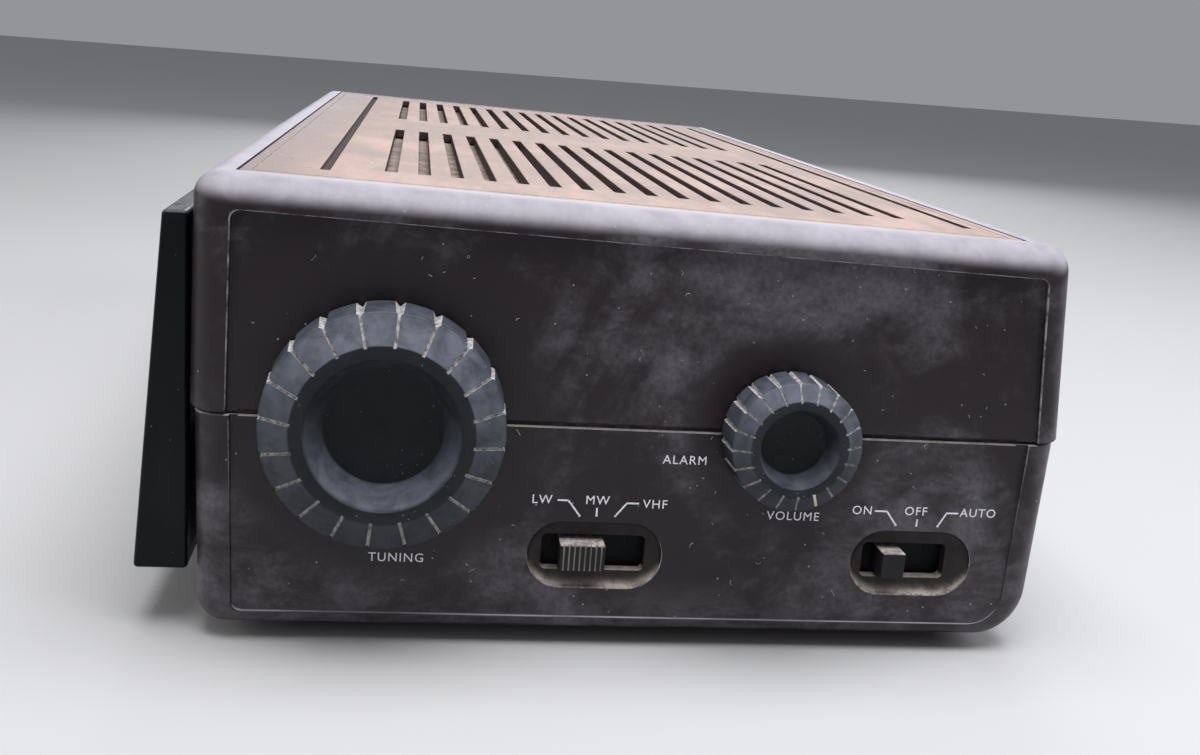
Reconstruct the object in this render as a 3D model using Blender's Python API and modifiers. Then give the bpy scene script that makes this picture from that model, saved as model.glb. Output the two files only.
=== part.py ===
"""Mains table clock radio: two-part cabinet, slotted top, wedge-shaped front and end-mounted controls.

Positions are written in millimetres from the datum, the point where the tuning shaft's axis meets the
plane of the control end: x points out of that end, y from front to back, z up. at() turns them into
world metres, where the origin is under the middle of the whole radio and +Z is up.
"""

import math

import bmesh
import bpy
from mathutils import Matrix, Vector

MM = 0.001

# Driving dimensions, in millimetres.
CABINET_LENGTH = 316.0
CABINET_DEPTH = 153.3
FOOT_HEIGHT = 2.5
BASE_DEPTH = 38.0  # parting line down to the underside
KNOB_REACH = 10.2
BEZEL_REACH = 9.4
FRONT_TO_TUNING = 32.3
WALL = 2.5
TOP_WALL = 5.0
END_WALL = 4.0
SEAM = 0.6
GAP = 0.3
TOP_RISE = 38.5
TOP_SLOPE = 0.028
CENTRE = -CABINET_LENGTH / 2

TUNING_RADIUS = 20.3
VOLUME_RADIUS = 11.5
VOLUME_Y = 69.2
GRIP_COUNT = 20

SPINDLE_RADIUS = 3.5
POINTER_TRAVEL = 70.0
DRUM_RADIUS = POINTER_TRAVEL / math.pi
DRUM_Y = 34.0
CORD_RADIUS = 0.4
CORD_X = -37.2
CORD_Y = -20.5
GUIDE_RADIUS = 4.2
RETURN_X = -152.0
SPINDLE_TURNS = 2
TURN_PITCH = 1.2

DATUM = Vector(((CABINET_LENGTH - KNOB_REACH) / 2,
                (CABINET_DEPTH + BEZEL_REACH) / 2 - CABINET_DEPTH + FRONT_TO_TUNING,
                BASE_DEPTH + FOOT_HEIGHT)) * MM

# Half cabinets: front and back at the parting line, then at the top or bottom edge.
UPPER_CORNERS = ((-32.3, 0.0), (-31.8, TOP_RISE + 31.8 * TOP_SLOPE), (117.9, TOP_RISE - 117.9 * TOP_SLOPE),
                 (121.0, 0.0))
LOWER_CORNERS = ((-31.5, 0.0), (-30.7, -BASE_DEPTH), (119.2, -BASE_DEPTH), (120.3, 0.0))
UPPER_RADII = (4.0, 4.5)
LOWER_RADII = (4.5, 9.5)
UPPER_END_INSET = (6.4, 5.6, 5.4)
LOWER_END_INSET = (6.2, 3.2, 6.3)
END_ROUND = 5.5
END_STEPS = 4

BOSSES = ((-12.0, -21.0), (-30.0, 104.5), (-303.0, 104.5), (-303.0, -20.0))
FEET = ((-26.0, -10.0), (-26.0, 86.0), (-290.0, -10.0), (-290.0, 86.0))
BOARD_POSTS = ((-56.0, -2.0), (-56.0, 90.0), (-224.0, -2.0), (-224.0, 90.0))

GRILLE_HALF = 150.0
GRILLE_FRONT = -25.4
GRILLE_BACK = 111.5
SLOT_COUNT = 17
SLOT_PITCH = 6.0
SLOT_WIDTH = 2.2
SLOT_ROWS = ((-290.0, -182.0), (-138.0, -27.5))

# The front's face leans back: its foot stands further out than its head.
BEZEL_TOP = (-36.9, 32.4)
BEZEL_FOOT = (-BEZEL_REACH - FRONT_TO_TUNING, -29.5)
BEZEL_INSET = 5.0
FACE_LEAN = math.atan2(BEZEL_TOP[0] - BEZEL_FOOT[0], BEZEL_TOP[1] - BEZEL_FOOT[1])
FACE_CENTRE = ((BEZEL_TOP[0] + BEZEL_FOOT[0]) / 2, (BEZEL_TOP[1] + BEZEL_FOOT[1]) / 2)
WINDOW_LOW = -12.0
WINDOW_HIGH = 25.0
WINDOW_HALF = 146.0
BUTTON_V = -22.0
BUTTONS = (("snooze_bar", -200.0, 44.0), ("hour_button", -232.5, 12.0), ("minute_button", -247.5, 12.0),
           ("alarm_button", -262.5, 12.0), ("sleep_button", -277.5, 12.0))

# Slide switches in the control end: middle of the knob at rest, its width, the window's ends, travel.
BAND_SWITCH = {"at": 34.9, "width": 8.0, "window": (27.9, 46.3), "rim": (25.5, 49.1), "carriage": 12.0,
               "travel": 6.3, "ribs": 8}
AUTO_SWITCH = {"at": 91.2, "width": 4.3, "window": (86.2, 101.9), "rim": (83.9, 106.2), "carriage": 13.5,
               "travel": 7.8, "ribs": 0}
SWITCH_LOW = -26.5
SWITCH_HIGH = -19.9
RIM_LOW = -29.2
RIM_HIGH = -17.3
RIM_DEPTH = 1.8

SPEAKER = (-106.0, 46.0)


# ---------------------------------------------------------------- helpers

def clear_scene():
    for leftover in list(bpy.data.objects):
        bpy.data.objects.remove(leftover, do_unlink=True)


def new_collection(name):
    collection = bpy.data.collections.new(name)
    bpy.context.scene.collection.children.link(collection)
    return collection


clear_scene()
PARTS = new_collection("clock_radio")
CUTTERS = new_collection("clock_radio_cutters")


def at(x, y, z):
    return DATUM + Vector((x, y, z)) * MM


def finish_of(name, colour, roughness, metallic=0.0):
    material = bpy.data.materials.new(name)
    material.use_nodes = True
    shader = material.node_tree.nodes["Principled BSDF"]
    shader.inputs["Base Color"].default_value = (*colour, 1.0)
    shader.inputs["Roughness"].default_value = roughness
    shader.inputs["Metallic"].default_value = metallic
    return material


FINISH = {
    "cabinet": ((0.035, 0.022, 0.024), 0.45),
    "grille": ((0.16, 0.115, 0.1), 0.6),
    "gloss_black": ((0.006, 0.006, 0.008), 0.12),
    "black": ((0.012, 0.012, 0.014), 0.45),
    "smoked": ((0.02, 0.008, 0.008), 0.05),
    "rubber": ((0.015, 0.015, 0.015), 0.8),
    "steel": ((0.55, 0.55, 0.56), 0.35, 1.0),
    "brass": ((0.6, 0.45, 0.2), 0.35, 1.0),
    "board": ((0.35, 0.22, 0.09), 0.55),
    "white": ((0.75, 0.74, 0.7), 0.5),
    "red": ((0.6, 0.04, 0.02), 0.4),
    "copper": ((0.7, 0.3, 0.15), 0.4, 1.0),
    "iron": ((0.2, 0.2, 0.21), 0.5, 1.0),
    "ferrite": ((0.05, 0.05, 0.055), 0.6),
    "paper": ((0.05, 0.048, 0.045), 0.9),
    "cord": ((0.6, 0.58, 0.5), 0.8),
}


def keep(piece, finish):
    """Give a finished piece its own material."""
    piece.data.materials.clear()
    piece.data.materials.append(finish_of(piece.name, *FINISH[finish]))
    return piece


def object_from(name, bm, origin=(0, 0, 0), collection=PARTS):
    """An object whose mesh is drawn in metres about its own origin."""
    bmesh.ops.recalc_face_normals(bm, faces=bm.faces)
    mesh = bpy.data.meshes.new(name)
    bm.to_mesh(mesh)
    bm.free()
    mesh.shade_smooth()
    mesh.set_sharp_from_angle(angle=math.radians(35))
    made = bpy.data.objects.new(name, mesh)
    made.location = origin
    collection.objects.link(made)
    return made


def add_block(bm, low, high):
    """A box between two corners, in millimetres."""
    low, high = Vector(low) * MM, Vector(high) * MM
    size = Matrix.Diagonal(((high - low).x, (high - low).y, (high - low).z, 1.0))
    bmesh.ops.create_cube(bm, size=1.0, matrix=Matrix.Translation((low + high) / 2) @ size)


def blocks(name, boxes, origin=DATUM):
    """Separate boxes in one mesh, each given by two corners from the origin."""
    bm = bmesh.new()
    for low, high in boxes:
        add_block(bm, low, high)
    return object_from(name, bm, origin)


def bevelled(piece, width, segments=1, limit=35):
    bevel = piece.modifiers.new("edges", "BEVEL")
    bevel.width = width * MM
    bevel.segments = segments
    bevel.limit_method = "ANGLE"
    bevel.angle_limit = math.radians(limit)
    return piece


def rod(name, radius, start, end, segments=20):
    """A cylinder between two points in millimetres from the datum, its origin at the start."""
    first, last = at(*start), at(*end)
    along = last - first
    turn = Vector((0, 0, 1)).rotation_difference(along).to_matrix().to_4x4()
    bm = bmesh.new()
    bmesh.ops.create_cone(bm, cap_ends=True, segments=segments, radius1=radius * MM, radius2=radius * MM,
                          depth=along.length, matrix=turn @ Matrix.Translation((0, 0, along.length / 2)))
    return object_from(name, bm, first)


def turned(name, profile, origin, axis="Z", steps=32):
    """A solid of revolution: (radius, height) points in millimetres, from its top down to its foot."""
    bm = bmesh.new()
    points = [bm.verts.new((radius * MM, 0, height * MM)) for radius, height in profile]
    for first, second in zip(points, points[1:]):
        bm.edges.new((first, second))
    mesh = bpy.data.meshes.new(name)
    bm.to_mesh(mesh)
    bm.free()
    made = bpy.data.objects.new(name, mesh)
    PARTS.objects.link(made)
    made.location = at(*origin)
    made.rotation_euler = {"X": (0, math.pi / 2, 0), "Y": (-math.pi / 2, 0, 0), "Z": (0, 0, 0)}[axis]
    screw = made.modifiers.new("turn", "SCREW")
    screw.axis = "Z"
    screw.steps = screw.render_steps = steps
    screw.use_merge_vertices = True
    screw.merge_threshold = 0.00001
    screw.use_smooth_shade = True
    return made


def lofted(name, sections, collection=PARTS):
    """A body through rings of points in millimetres from the datum, closed at both ends."""
    bm = bmesh.new()
    rings = [[bm.verts.new(Vector(point) * MM) for point in section] for section in sections]
    for near, far in zip(rings, rings[1:]):
        for k, vertex in enumerate(near):
            after = (k + 1) % len(near)
            bm.faces.new((vertex, near[after], far[after], far[k]))
    bm.faces.new(rings[0])
    bm.faces.new(rings[-1])
    return object_from(name, bm, DATUM, collection)


def combine(target, operation, *tools):
    """Cut or join other bodies with a target; the tools stay behind as hidden guides."""
    for tool in tools:
        boolean = target.modifiers.new(tool.name, "BOOLEAN")
        boolean.operation = operation
        boolean.solver = "EXACT"
        boolean.object = tool
        tool.hide_render = True
        tool.display_type = "WIRE"
        for home in list(tool.users_collection):
            home.objects.unlink(tool)
        CUTTERS.objects.link(tool)
    return target


def cut(target, *tools):
    return combine(target, "DIFFERENCE", *tools)


def join(target, *tools):
    return combine(target, "UNION", *tools)


def plane_guide(name, origin, lean):
    """An empty whose x axis runs along the cabinet and whose x-y plane leans with a sloping face."""
    guide = bpy.data.objects.new(name, None)
    guide.location = at(*origin)
    guide.rotation_euler = (lean, 0, 0)
    CUTTERS.objects.link(guide)
    return guide


def lay_on(guide, piece, offset=(0, 0, 0)):
    piece.parent = guide
    piece.location = Vector(offset) * MM
    return piece


def meet(first, second):
    """Where two lines cross, each given by two points in the y-z plane."""
    a, b = first
    c, d = second
    run, rise = b - a, d - c
    reach = (c - a).cross(rise) / run.cross(rise)
    return a + run * reach


def rounded(before, corner, after, radius, steps):
    """Points of the arc that rounds a corner."""
    back, on = (before - corner).normalized(), (after - corner).normalized()
    half = back.angle(on) / 2
    centre = corner + (back + on).normalized() * (radius / math.sin(half))
    start = corner + back * (radius / math.tan(half)) - centre
    end = corner + on * (radius / math.tan(half)) - centre
    turn = math.atan2(start.cross(end), start.dot(end))
    arc = []
    for k in range(steps + 1):
        arc.append(centre + Matrix.Rotation(turn * k / steps, 2) @ start)
    return arc


def half_outline(corners, radii, insets, seam, steps):
    """Half the cabinet's end view: three sides moved inwards, two rounded corners, open at the seam."""
    points = [Vector(corner) for corner in corners]
    middle = sum(points, Vector((0, 0))) / len(points)
    sides = []
    for first, second, inset in zip(points, points[1:], insets):
        along = (second - first).normalized()
        inward = Vector((-along.y, along.x))
        if inward.dot(middle - first) < 0:
            inward.negate()
        sides.append((first + inward * inset, second + inward * inset))
    level = (Vector((0, seam)), Vector((1, seam)))
    path = [meet(sides[0], level), meet(sides[0], sides[1]), meet(sides[1], sides[2]),
            meet(sides[2], level)]
    outline = [path[0]]
    for k, radius in enumerate(radii):
        inset = max(insets[k], insets[k + 1])
        outline += rounded(path[k], path[k + 1], path[k + 2], max(radius - inset, 1.0), steps)
    return outline + [path[3]]


def rounded_rectangle(low, high, radius, steps=4):
    """A rectangle in the y-z plane with round corners."""
    (y0, z0), (y1, z1) = low, high
    corners = [Vector(corner) for corner in ((y0, z0), (y1, z0), (y1, z1), (y0, z1))]
    outline = []
    for k, corner in enumerate(corners):
        outline += rounded(corners[k - 1], corner, corners[(k + 1) % 4], radius, steps)
    return outline


def section(x, outline):
    return [(x, point.x, point.y) for point in outline]


# ---------------------------------------------------------------- cabinet

def recess_depth(y, z):
    """The end panel is sunk behind its rim, deepest at the top front and almost flush at the bottom."""
    return 0.3 + 1.2 * (z + 33.0) / 66.0 + 0.3 * (112.0 - y) / 138.0


def cabinet_half(name, corners, radii, end_inset, cap_wall, seam):
    """One hollow half with rounded ends and a sunk panel in each end."""
    past_seam = -2.0 if seam > 0 else 2.0
    rings = []
    for end, side in ((0.0, 1), (-CABINET_LENGTH, -1)):
        stations = []
        for k in range(END_STEPS + 1):
            angle = math.pi / 2 * k / END_STEPS
            insets = [inset * (1 - math.sin(angle)) for inset in end_inset]
            x = end - side * END_ROUND * (1 - math.cos(angle))
            stations.append(section(x, half_outline(corners, radii, insets, seam, 4)))
        rings += stations if side > 0 else stations[::-1]
    body = lofted(name, rings)
    hollow = half_outline(corners, radii, (WALL, cap_wall, WALL), past_seam, 2)
    inner = lofted(name + "_hollow",
                   [section(-END_WALL, hollow), section(END_WALL - CABINET_LENGTH, hollow)], CUTTERS)
    cut(body, inner)
    panel = half_outline(corners, (0, 0), end_inset, past_seam, 2)
    for label, end, side in (("right", 0.0, 1), ("left", -CABINET_LENGTH, -1)):
        floor = [(end - side * recess_depth(p.x, p.y), p.x, p.y) for p in panel]
        cut(body, lofted(f"{name}_{label}_panel", [floor, section(end + side * 2.0, panel)], CUTTERS))
    return body


def slot_blocks(low, high):
    """The through slots of the top panel, both rows, between two heights."""
    boxes = []
    for start, end in SLOT_ROWS:
        for k in range(SLOT_COUNT):
            middle = k * SLOT_PITCH - 1.0
            boxes.append(((start - CENTRE, middle - SLOT_WIDTH / 2, low),
                          (end - CENTRE, middle + SLOT_WIDTH / 2, high)))
    return boxes


def make_upper_shell(top):
    shell = cabinet_half("upper_shell", UPPER_CORNERS, UPPER_RADII, UPPER_END_INSET, TOP_WALL, SEAM / 2)
    margin = GRILLE_HALF + GAP
    seat = blocks("grille_seat", [((-margin, GRILLE_FRONT - GAP, -2.4), (margin, GRILLE_BACK + GAP, 3.0))])
    sound = blocks("sound_opening", [((-135.0, -4.0, -9.0), (134.0, 98.5, 3.0))])
    cut(shell, lay_on(top, seat), lay_on(top, sound))
    posts = []
    for k, (x, y) in enumerate(BOSSES):
        roof = TOP_RISE - TOP_SLOPE * y - TOP_WALL + 0.8
        posts.append(rod(f"upper_post_{k}", 4.4, (x, y, SEAM / 2), (x, y, roof), 16))
    join(shell, *posts)
    pilots = [rod(f"pilot_{k}", 1.8, (x, y, -2), (x, y, 16), 12) for k, (x, y) in enumerate(BOSSES)]
    front = blocks("dial_opening_upper", [((-296.0, -36.0, -2.0), (-20.0, -26.0, 26.0))])
    return cut(shell, front, *pilots)


def make_lower_shell():
    shell = cabinet_half("lower_shell", LOWER_CORNERS, LOWER_RADII, LOWER_END_INSET, WALL, -SEAM / 2)
    floor = -BASE_DEPTH + WALL
    stands = [rod(f"lower_boss_{k}", 4.9, (x, y, floor - 1), (x, y, -SEAM / 2), 16)
              for k, (x, y) in enumerate(BOSSES)]
    stands += [rod(f"board_post_{k}", 3.5, (x, y, floor - 1), (x, y, -28.7), 12)
               for k, (x, y) in enumerate(BOARD_POSTS)]
    ribs = blocks("clock_ribs", [((x - 1.2, -30.0, floor - 1), (x + 1.2, -14.0, -14.3))
                                 for x in (-172, -289)])
    join(shell, ribs, *stands)
    holes = []
    for k, (x, y) in enumerate(BOSSES):
        holes.append(rod(f"screw_hole_{k}", 1.8, (x, y, -BASE_DEPTH - 1), (x, y, 1), 12))
        holes.append(rod(f"head_well_{k}", 3.6, (x, y, -BASE_DEPTH - 1), (x, y, -26), 16))
    holes += [rod(f"foot_hole_{k}", 2.8, (x, y, -BASE_DEPTH - 1), (x, y, floor + 1), 12)
              for k, (x, y) in enumerate(FEET)]
    holes += [rod(f"board_hole_{k}", 1.6, (x, y, -35.0), (x, y, -27), 10)
              for k, (x, y) in enumerate(BOARD_POSTS)]
    openings = blocks("dial_opening_lower", [((-296.0, -36.0, -12.0), (-20.0, -26.0, 2.0)),
                                             ((-286.0, -36.0, -26.8), (-176.0, -26.0, -15.0))])
    vents = blocks("vents", [((-276.0 + 6 * k, 52.0, -BASE_DEPTH - 1), (-273.2 + 6 * k, 92.0, floor + 1))
                             for k in range(8)])
    cut(shell, openings, vents, *holes)
    well = rod("gland_well", 9.5, (-262, 125, -19), (-262, 116.8, -19), 24)
    pad = blocks("gland_pad", [((-274, 110.5, -33), (-250, 118.6, -6))])
    join(shell, pad)
    bore = rod("gland_bore", 6.0, (-262, 125, -19), (-262, 105, -19), 20)
    return cut(shell, well, bore)


def cut_controls(upper, lower):
    """Shaft holes on the parting line, and the funnelled windows of the slide switches."""
    for name, y, radius in (("tuning_hole", 0.0, 4.6), ("volume_hole", VOLUME_Y, 4.2)):
        tool = rod(name, radius, (-8, y, 0), (3, y, 0), 20)
        cut(upper, tool)
        cut(lower, tool)
    for name, switch in (("band_window", BAND_SWITCH), ("auto_window", AUTO_SWITCH)):
        rim = rounded_rectangle((switch["rim"][0], RIM_LOW), (switch["rim"][1], RIM_HIGH), 5.9)
        near, far = switch["window"]
        throat = rounded_rectangle((near, SWITCH_LOW), (far, SWITCH_HIGH), 1.0)
        cut(lower, lofted(name, [section(0.5, rim), section(-0.2, rim), section(-RIM_DEPTH, throat),
                                 section(-END_WALL - 2, throat)]))


def make_grille(top):
    panel = blocks("top_grille", [((-GRILLE_HALF, GRILLE_FRONT, -2.1), (GRILLE_HALF, GRILLE_BACK, -0.05))])
    lay_on(top, panel)
    slots = lay_on(top, blocks("slots", slot_blocks(-4.0, 2.0)))
    grooves = lay_on(top, blocks("grooves", [((-137.5, y - 0.9, -0.95), (137.5, y + 0.9, 1.0))
                                             for y in (-12.2, 105.6)]))
    return cut(panel, slots, grooves)


def make_gland():
    """A bush for the mains lead in the back wall, flush in its well."""
    profile = ((3.6, 1.0), (7.5, 1.0), (7.5, -0.4), (5.7, -0.4), (5.7, -8.6), (3.6, -8.6), (3.6, 1.0))
    return turned("cord_gland", profile, (-262, 117.5, -19), "Y", 20)


def make_fasteners():
    for k, (x, y) in enumerate(BOSSES, start=1):
        profile = ((0, 13), (1.5, 11.5), (1.5, -26.3), (3.2, -26.3), (3.2, -27.4), (2.2, -28.3), (0, -28.3))
        keep(turned(f"cabinet_screw_{k}", profile, (x, y, 0), steps=12), "steel")
    for k, (x, y) in enumerate(FEET, start=1):
        profile = ((0, 5.0), (2.5, 5.0), (2.5, 2.2), (7.0, 2.2), (7.0, 0.6), (6.4, 0), (0, 0))
        foot = turned(f"rubber_foot_{k}", profile, (x, y, -BASE_DEPTH - FOOT_HEIGHT), steps=16)
        keep(foot, "rubber")
    for k, (x, y) in enumerate(BOARD_POSTS[::3], start=1):
        profile = ((0, 2.0), (1.8, 2.0), (2.6, 1.4), (2.6, 0.3), (1.3, 0.3), (1.3, -7.5), (0, -7.5))
        keep(turned(f"board_screw_{k}", profile, (x, y, -26.8), steps=10), "steel")


# ---------------------------------------------------------------- front

def make_front(face):
    x_low, x_high = BEZEL_INSET - CABINET_LENGTH, -BEZEL_INSET
    back_top, back_foot = -FRONT_TO_TUNING - GAP - 0.1, -FRONT_TO_TUNING - GAP
    shape = [Vector(point) for point in (BEZEL_FOOT, (back_foot, BEZEL_FOOT[1]), (back_top, BEZEL_TOP[1]),
                                         BEZEL_TOP)]
    bezel = bevelled(lofted("front_bezel", [section(x_low, shape), section(x_high, shape)]), 0.9)
    hollow = blocks("bezel_hollow", [((x_low + 3 - CENTRE, 2.6, -27.5), (x_high - 3 - CENTRE, 25, 28.0))])
    seat = blocks("window_seat", [((-WINDOW_HALF - GAP, -1, WINDOW_LOW - GAP),
                                   (WINDOW_HALF + GAP, 1.9, WINDOW_HIGH + GAP))])
    sight = blocks("window_sight", [((2 - WINDOW_HALF, -1, WINDOW_LOW + 2),
                                     (WINDOW_HALF - 2, 25, WINDOW_HIGH - 2))])
    half = 3.0 + GAP
    sockets = blocks("button_sockets", [((x - width / 2 - GAP - CENTRE, -2, BUTTON_V - half),
                                         (x + width / 2 + GAP - CENTRE, 6, BUTTON_V + half))
                                        for _, x, width in BUTTONS])
    cut(bezel, *[lay_on(face, tool) for tool in (hollow, seat, sight, sockets)])
    keep(bezel, "gloss_black")
    pane = blocks("display_window", [((-WINDOW_HALF, 0.1, WINDOW_LOW), (WINDOW_HALF, 1.6, WINDOW_HIGH))])
    keep(lay_on(face, pane), "smoked")
    for name, x, width in BUTTONS:
        cap = bevelled(blocks(name + "_cap", [((-width / 2, -0.6, -3.0), (width / 2, 5.0, 3.0))]), 0.35)
        stem = blocks(name, [((-2.0, 4.0, -1.5), (2.0, 12.4, 1.5))])
        lay_on(face, stem, (x - CENTRE, 0, BUTTON_V))
        lay_on(face, cap, (x - CENTRE, 0, BUTTON_V))
        keep(join(stem, cap), "black")


def make_clock():
    keep(blocks("clock_board", [((-292.0, -24.0, -14.0), (-169.0, -22.4, 27.0))]), "board")
    display = bevelled(blocks("clock_display", [((-281.0, -34.5, -8.0), (-187.0, -24.3, 20.0))]), 0.8)
    keep(display, "black")
    keep(blocks("clock_chip", [((-250.0, -22.1, -2.0), (-198.0, -17.5, 12.0))]), "black")
    strip = blocks("button_strip", [((-285.0, -26.4, -26.5), (-177.0, -24.9, -15.3))])
    pads = blocks("button_pads", [((x - 3, -26.8, -24.0), (x + 3, -26.0, -19.0)) for _, x, _ in BUTTONS])
    keep(join(strip, pads), "board")


# ---------------------------------------------------------------- knobs and shafts

def ring_of_blocks(name, count, phase, place, size):
    """Narrow cutters spaced evenly round a knob's axis; place puts the first one, size is in millimetres."""
    bm = bmesh.new()
    block = place @ Matrix.Diagonal((*(Vector(size) * MM), 1.0))
    for k in range(count):
        spin = Matrix.Rotation(phase + 2 * math.pi * k / count, 4, "Z")
        bmesh.ops.create_cube(bm, size=1.0, matrix=spin @ block)
    return object_from(name, bm, collection=CUTTERS)


def grip_grooves(name, chamfer, phase):
    """Cutters for a knob's grip: grooves down its side, and grooves along its chamfer."""
    inner, outer = (Vector(point) for point in chamfer)
    middle = (inner + outer) / 2
    lean = math.atan2(inner.y - outer.y, outer.x - inner.x)
    side = Matrix.Translation(Vector((outer.x + 0.35, 0, 0)) * MM)
    face = Matrix.Translation(Vector((middle.x, 0, middle.y)) * MM) @ Matrix.Rotation(lean, 4, "Y")
    length = (outer - inner).length
    return (ring_of_blocks(name + "_side_grooves", GRIP_COUNT, phase, side, (1.5, 0.9, 40)),
            ring_of_blocks(name + "_face_grooves", GRIP_COUNT, phase, face, (length + 0.9, 0.8, 1.1)))


def make_knob(name, y, profile, chamfer, steps, phase, shaft_radius=3.0):
    """A turned knob with a finger cup, ribbed by straight grooves."""
    knob = turned(name, profile, (0, y, 0), "X", steps)
    grooves = grip_grooves(name, chamfer, phase)
    for tool in grooves:
        tool.location = knob.location
        tool.rotation_euler = knob.rotation_euler
    bore = rod(name + "_bore", shaft_radius + GAP, (-3.0, y, 0), (2.0, y, 0), 20)
    return keep(cut(knob, *grooves, bore), "black")


def make_knobs():
    base = -0.5
    tuning = ((0, 3.4), (10.05, 3.4), (12.73, 10.2), (14.94, 10.2), (20.0, 7.66), (TUNING_RADIUS, base),
              (0, base))
    make_knob("tuning_knob", 0.0, tuning, ((14.94, 10.2), (20.0, 7.66)), 60, math.pi - math.radians(5.4))
    volume = ((0, 4.66), (5.6, 4.66), (6.88, 9.12), (8.47, 9.15), (11.3, 7.54), (VOLUME_RADIUS, base),
              (0, base))
    make_knob("volume_knob", VOLUME_Y, volume, ((8.47, 9.15), (11.3, 7.54)), 40, math.pi)


def make_tuning_drive():
    waist = SPINDLE_RADIUS - CORD_RADIUS - GAP
    profile = ((0, 1.6), (3.0, 1.6), (3.0, -32.5), (waist, -33.0), (waist, -39.5), (3.0, -40.0),
               (3.0, -47.5), (0, -47.5))
    keep(turned("tuning_shaft", profile, (0, 0, 0), "X", 20), "steel")
    floor = DRUM_RADIUS - CORD_RADIUS - GAP
    rim = DRUM_RADIUS + 1.2
    drum = ((3.3, 3.0), (6.0, 3.0), (6.0, 0.8), (19.0, 0.8), (19.0, 1.6), (rim, 1.6), (floor, 0.8),
            (floor, -0.8), (rim, -1.6), (19.0, -1.6), (19.0, -0.8), (6.0, -0.8), (6.0, -3.0), (3.3, -3.0),
            (3.3, 3.0))
    keep(turned("tuning_drum", drum, (CORD_X, DRUM_Y, 0), "X", 32), "white")
    keep(rod("capacitor_shaft", 3.0, (-32.0, DRUM_Y, 0), (-52.0, DRUM_Y, 0), 20), "brass")
    case = blocks("tuning_capacitor", [((-74.0, DRUM_Y - 15, -15.0), (-46.0, DRUM_Y + 15, 15.0))])
    socket = rod("capacitor_socket", 3.3, (-40.0, DRUM_Y, 0), (-54.0, DRUM_Y, 0), 20)
    keep(cut(bevelled(case, 1.0), socket), "white")
    bracket = blocks("tuning_bracket", [((-45.6, -9.0, -35.2), (-22.5, 50.0, -33.7))])
    cheeks = blocks("bracket_cheeks", [((-45.6, -9.0, -34.5), (-44.1, 50.0, 9.0)),
                                       ((-24.0, -9.0, -34.5), (-22.5, 9.0, 9.0))])
    join(bracket, cheeks)
    bearings = [rod("spindle_bearing", 3.3, (-50.0, 0, 0), (-18.0, 0, 0), 20),
                rod("drum_bearing", 3.3, (-50.0, DRUM_Y, 0), (-40.0, DRUM_Y, 0), 20)]
    keep(cut(bracket, *bearings), "steel")


def pulley(name, radius, origin, axis, steps):
    """A grooved wheel that carries the dial cord at the given radius."""
    floor = radius - CORD_RADIUS - GAP
    rim = radius + 1.0
    profile = ((1.5, 1.6), (rim, 1.6), (floor, 0.75), (floor, -0.75), (rim, -1.6), (1.5, -1.6), (1.5, 1.6))
    return keep(turned(name, profile, origin, axis, steps), "white")


def make_dial():
    low, high = -SPINDLE_RADIUS, DRUM_RADIUS
    guide = (CORD_X - GUIDE_RADIUS, CORD_Y + GUIDE_RADIUS)
    return_radius = (high - low) / 2
    return_z = (high + low) / 2
    pulley("guide_pulley_upper", GUIDE_RADIUS, (*guide, high), "Z", 20)
    pulley("guide_pulley_lower", GUIDE_RADIUS, (*guide, low), "Z", 20)
    pulley("return_pulley", return_radius, (RETURN_X, CORD_Y, return_z), "Y", 32)
    keep(rod("guide_pulley_pin", 1.2, (*guide, -10.5), (*guide, 28.5), 12), "steel")
    keep(rod("pointer_rail", 1.5, (-35.0, -24.6, 29.3), (-162.0, -24.6, 29.3), 16), "steel")
    keep(blocks("dial_scale", [((-144.0, -32.6, -9.5), (-38.0, -31.6, 21.5))]), "white")

    frame = blocks("dial_frame", [((-170.0, -12.4, -9.0), (-48.0, -11.2, 26.7))])
    stud = rod("return_stud", 1.2, (RETURN_X, -11.8, return_z), (RETURN_X, -23.2, return_z), 12)
    shapes = [((-62.0, -12.4, -35.2), (-52.0, -11.2, -8.0)), ((-168.0, -12.4, -35.2), (-158.0, -11.2, -8.0)),
              ((-49.0, -21.0, 25.5), (-36.4, -11.2, 26.7)), ((-49.0, -21.0, -9.0), (-36.4, -11.2, -7.8)),
              ((-161.0, -27.2, 25.6), (-159.6, -11.2, 32.4)), ((-37.8, -27.2, 25.6), (-36.4, -11.2, 32.4))]
    join(frame, stud, *[blocks(f"frame_tab_{k}", [shape]) for k, shape in enumerate(shapes)])
    rail_holes = rod("rail_holes", 1.8, (-30.0, -24.6, 29.3), (-170.0, -24.6, 29.3), 16)
    pin_holes = rod("pin_holes", 1.5, (*guide, -12.0), (*guide, 30.0), 12)
    keep(cut(frame, rail_holes, pin_holes), "steel")

    middle = -88.0
    pointer = blocks("dial_pointer", [((-0.5, -33.9, -7.0), (0.5, -33.3, 25.2))], at(middle, 0, 0))
    arm = blocks("pointer_arm", [((-1.5, -33.7, 22.9), (1.5, -24.0, 25.0))], at(middle, 0, 0))
    carriage = blocks("pointer_carriage", [((-6.0, -27.6, 23.2), (6.0, -21.6, 32.6))], at(middle, 0, 0))
    hole = rod("carriage_hole", 1.8, (middle - 10, -24.6, 29.3), (middle + 10, -24.6, 29.3), 16)
    keep(cut(join(pointer, arm, carriage), hole), "red")
    make_cord(guide, low, high, return_radius, return_z)


def arc(count, centre, radius, start, end):
    """Points round part of a circle; centre and result are pairs of coordinates in its plane."""
    points = []
    for k in range(count + 1):
        angle = math.radians(start + (end - start) * k / count)
        points.append((centre[0] + radius * math.cos(angle), centre[1] + radius * math.sin(angle)))
    return points


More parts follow.
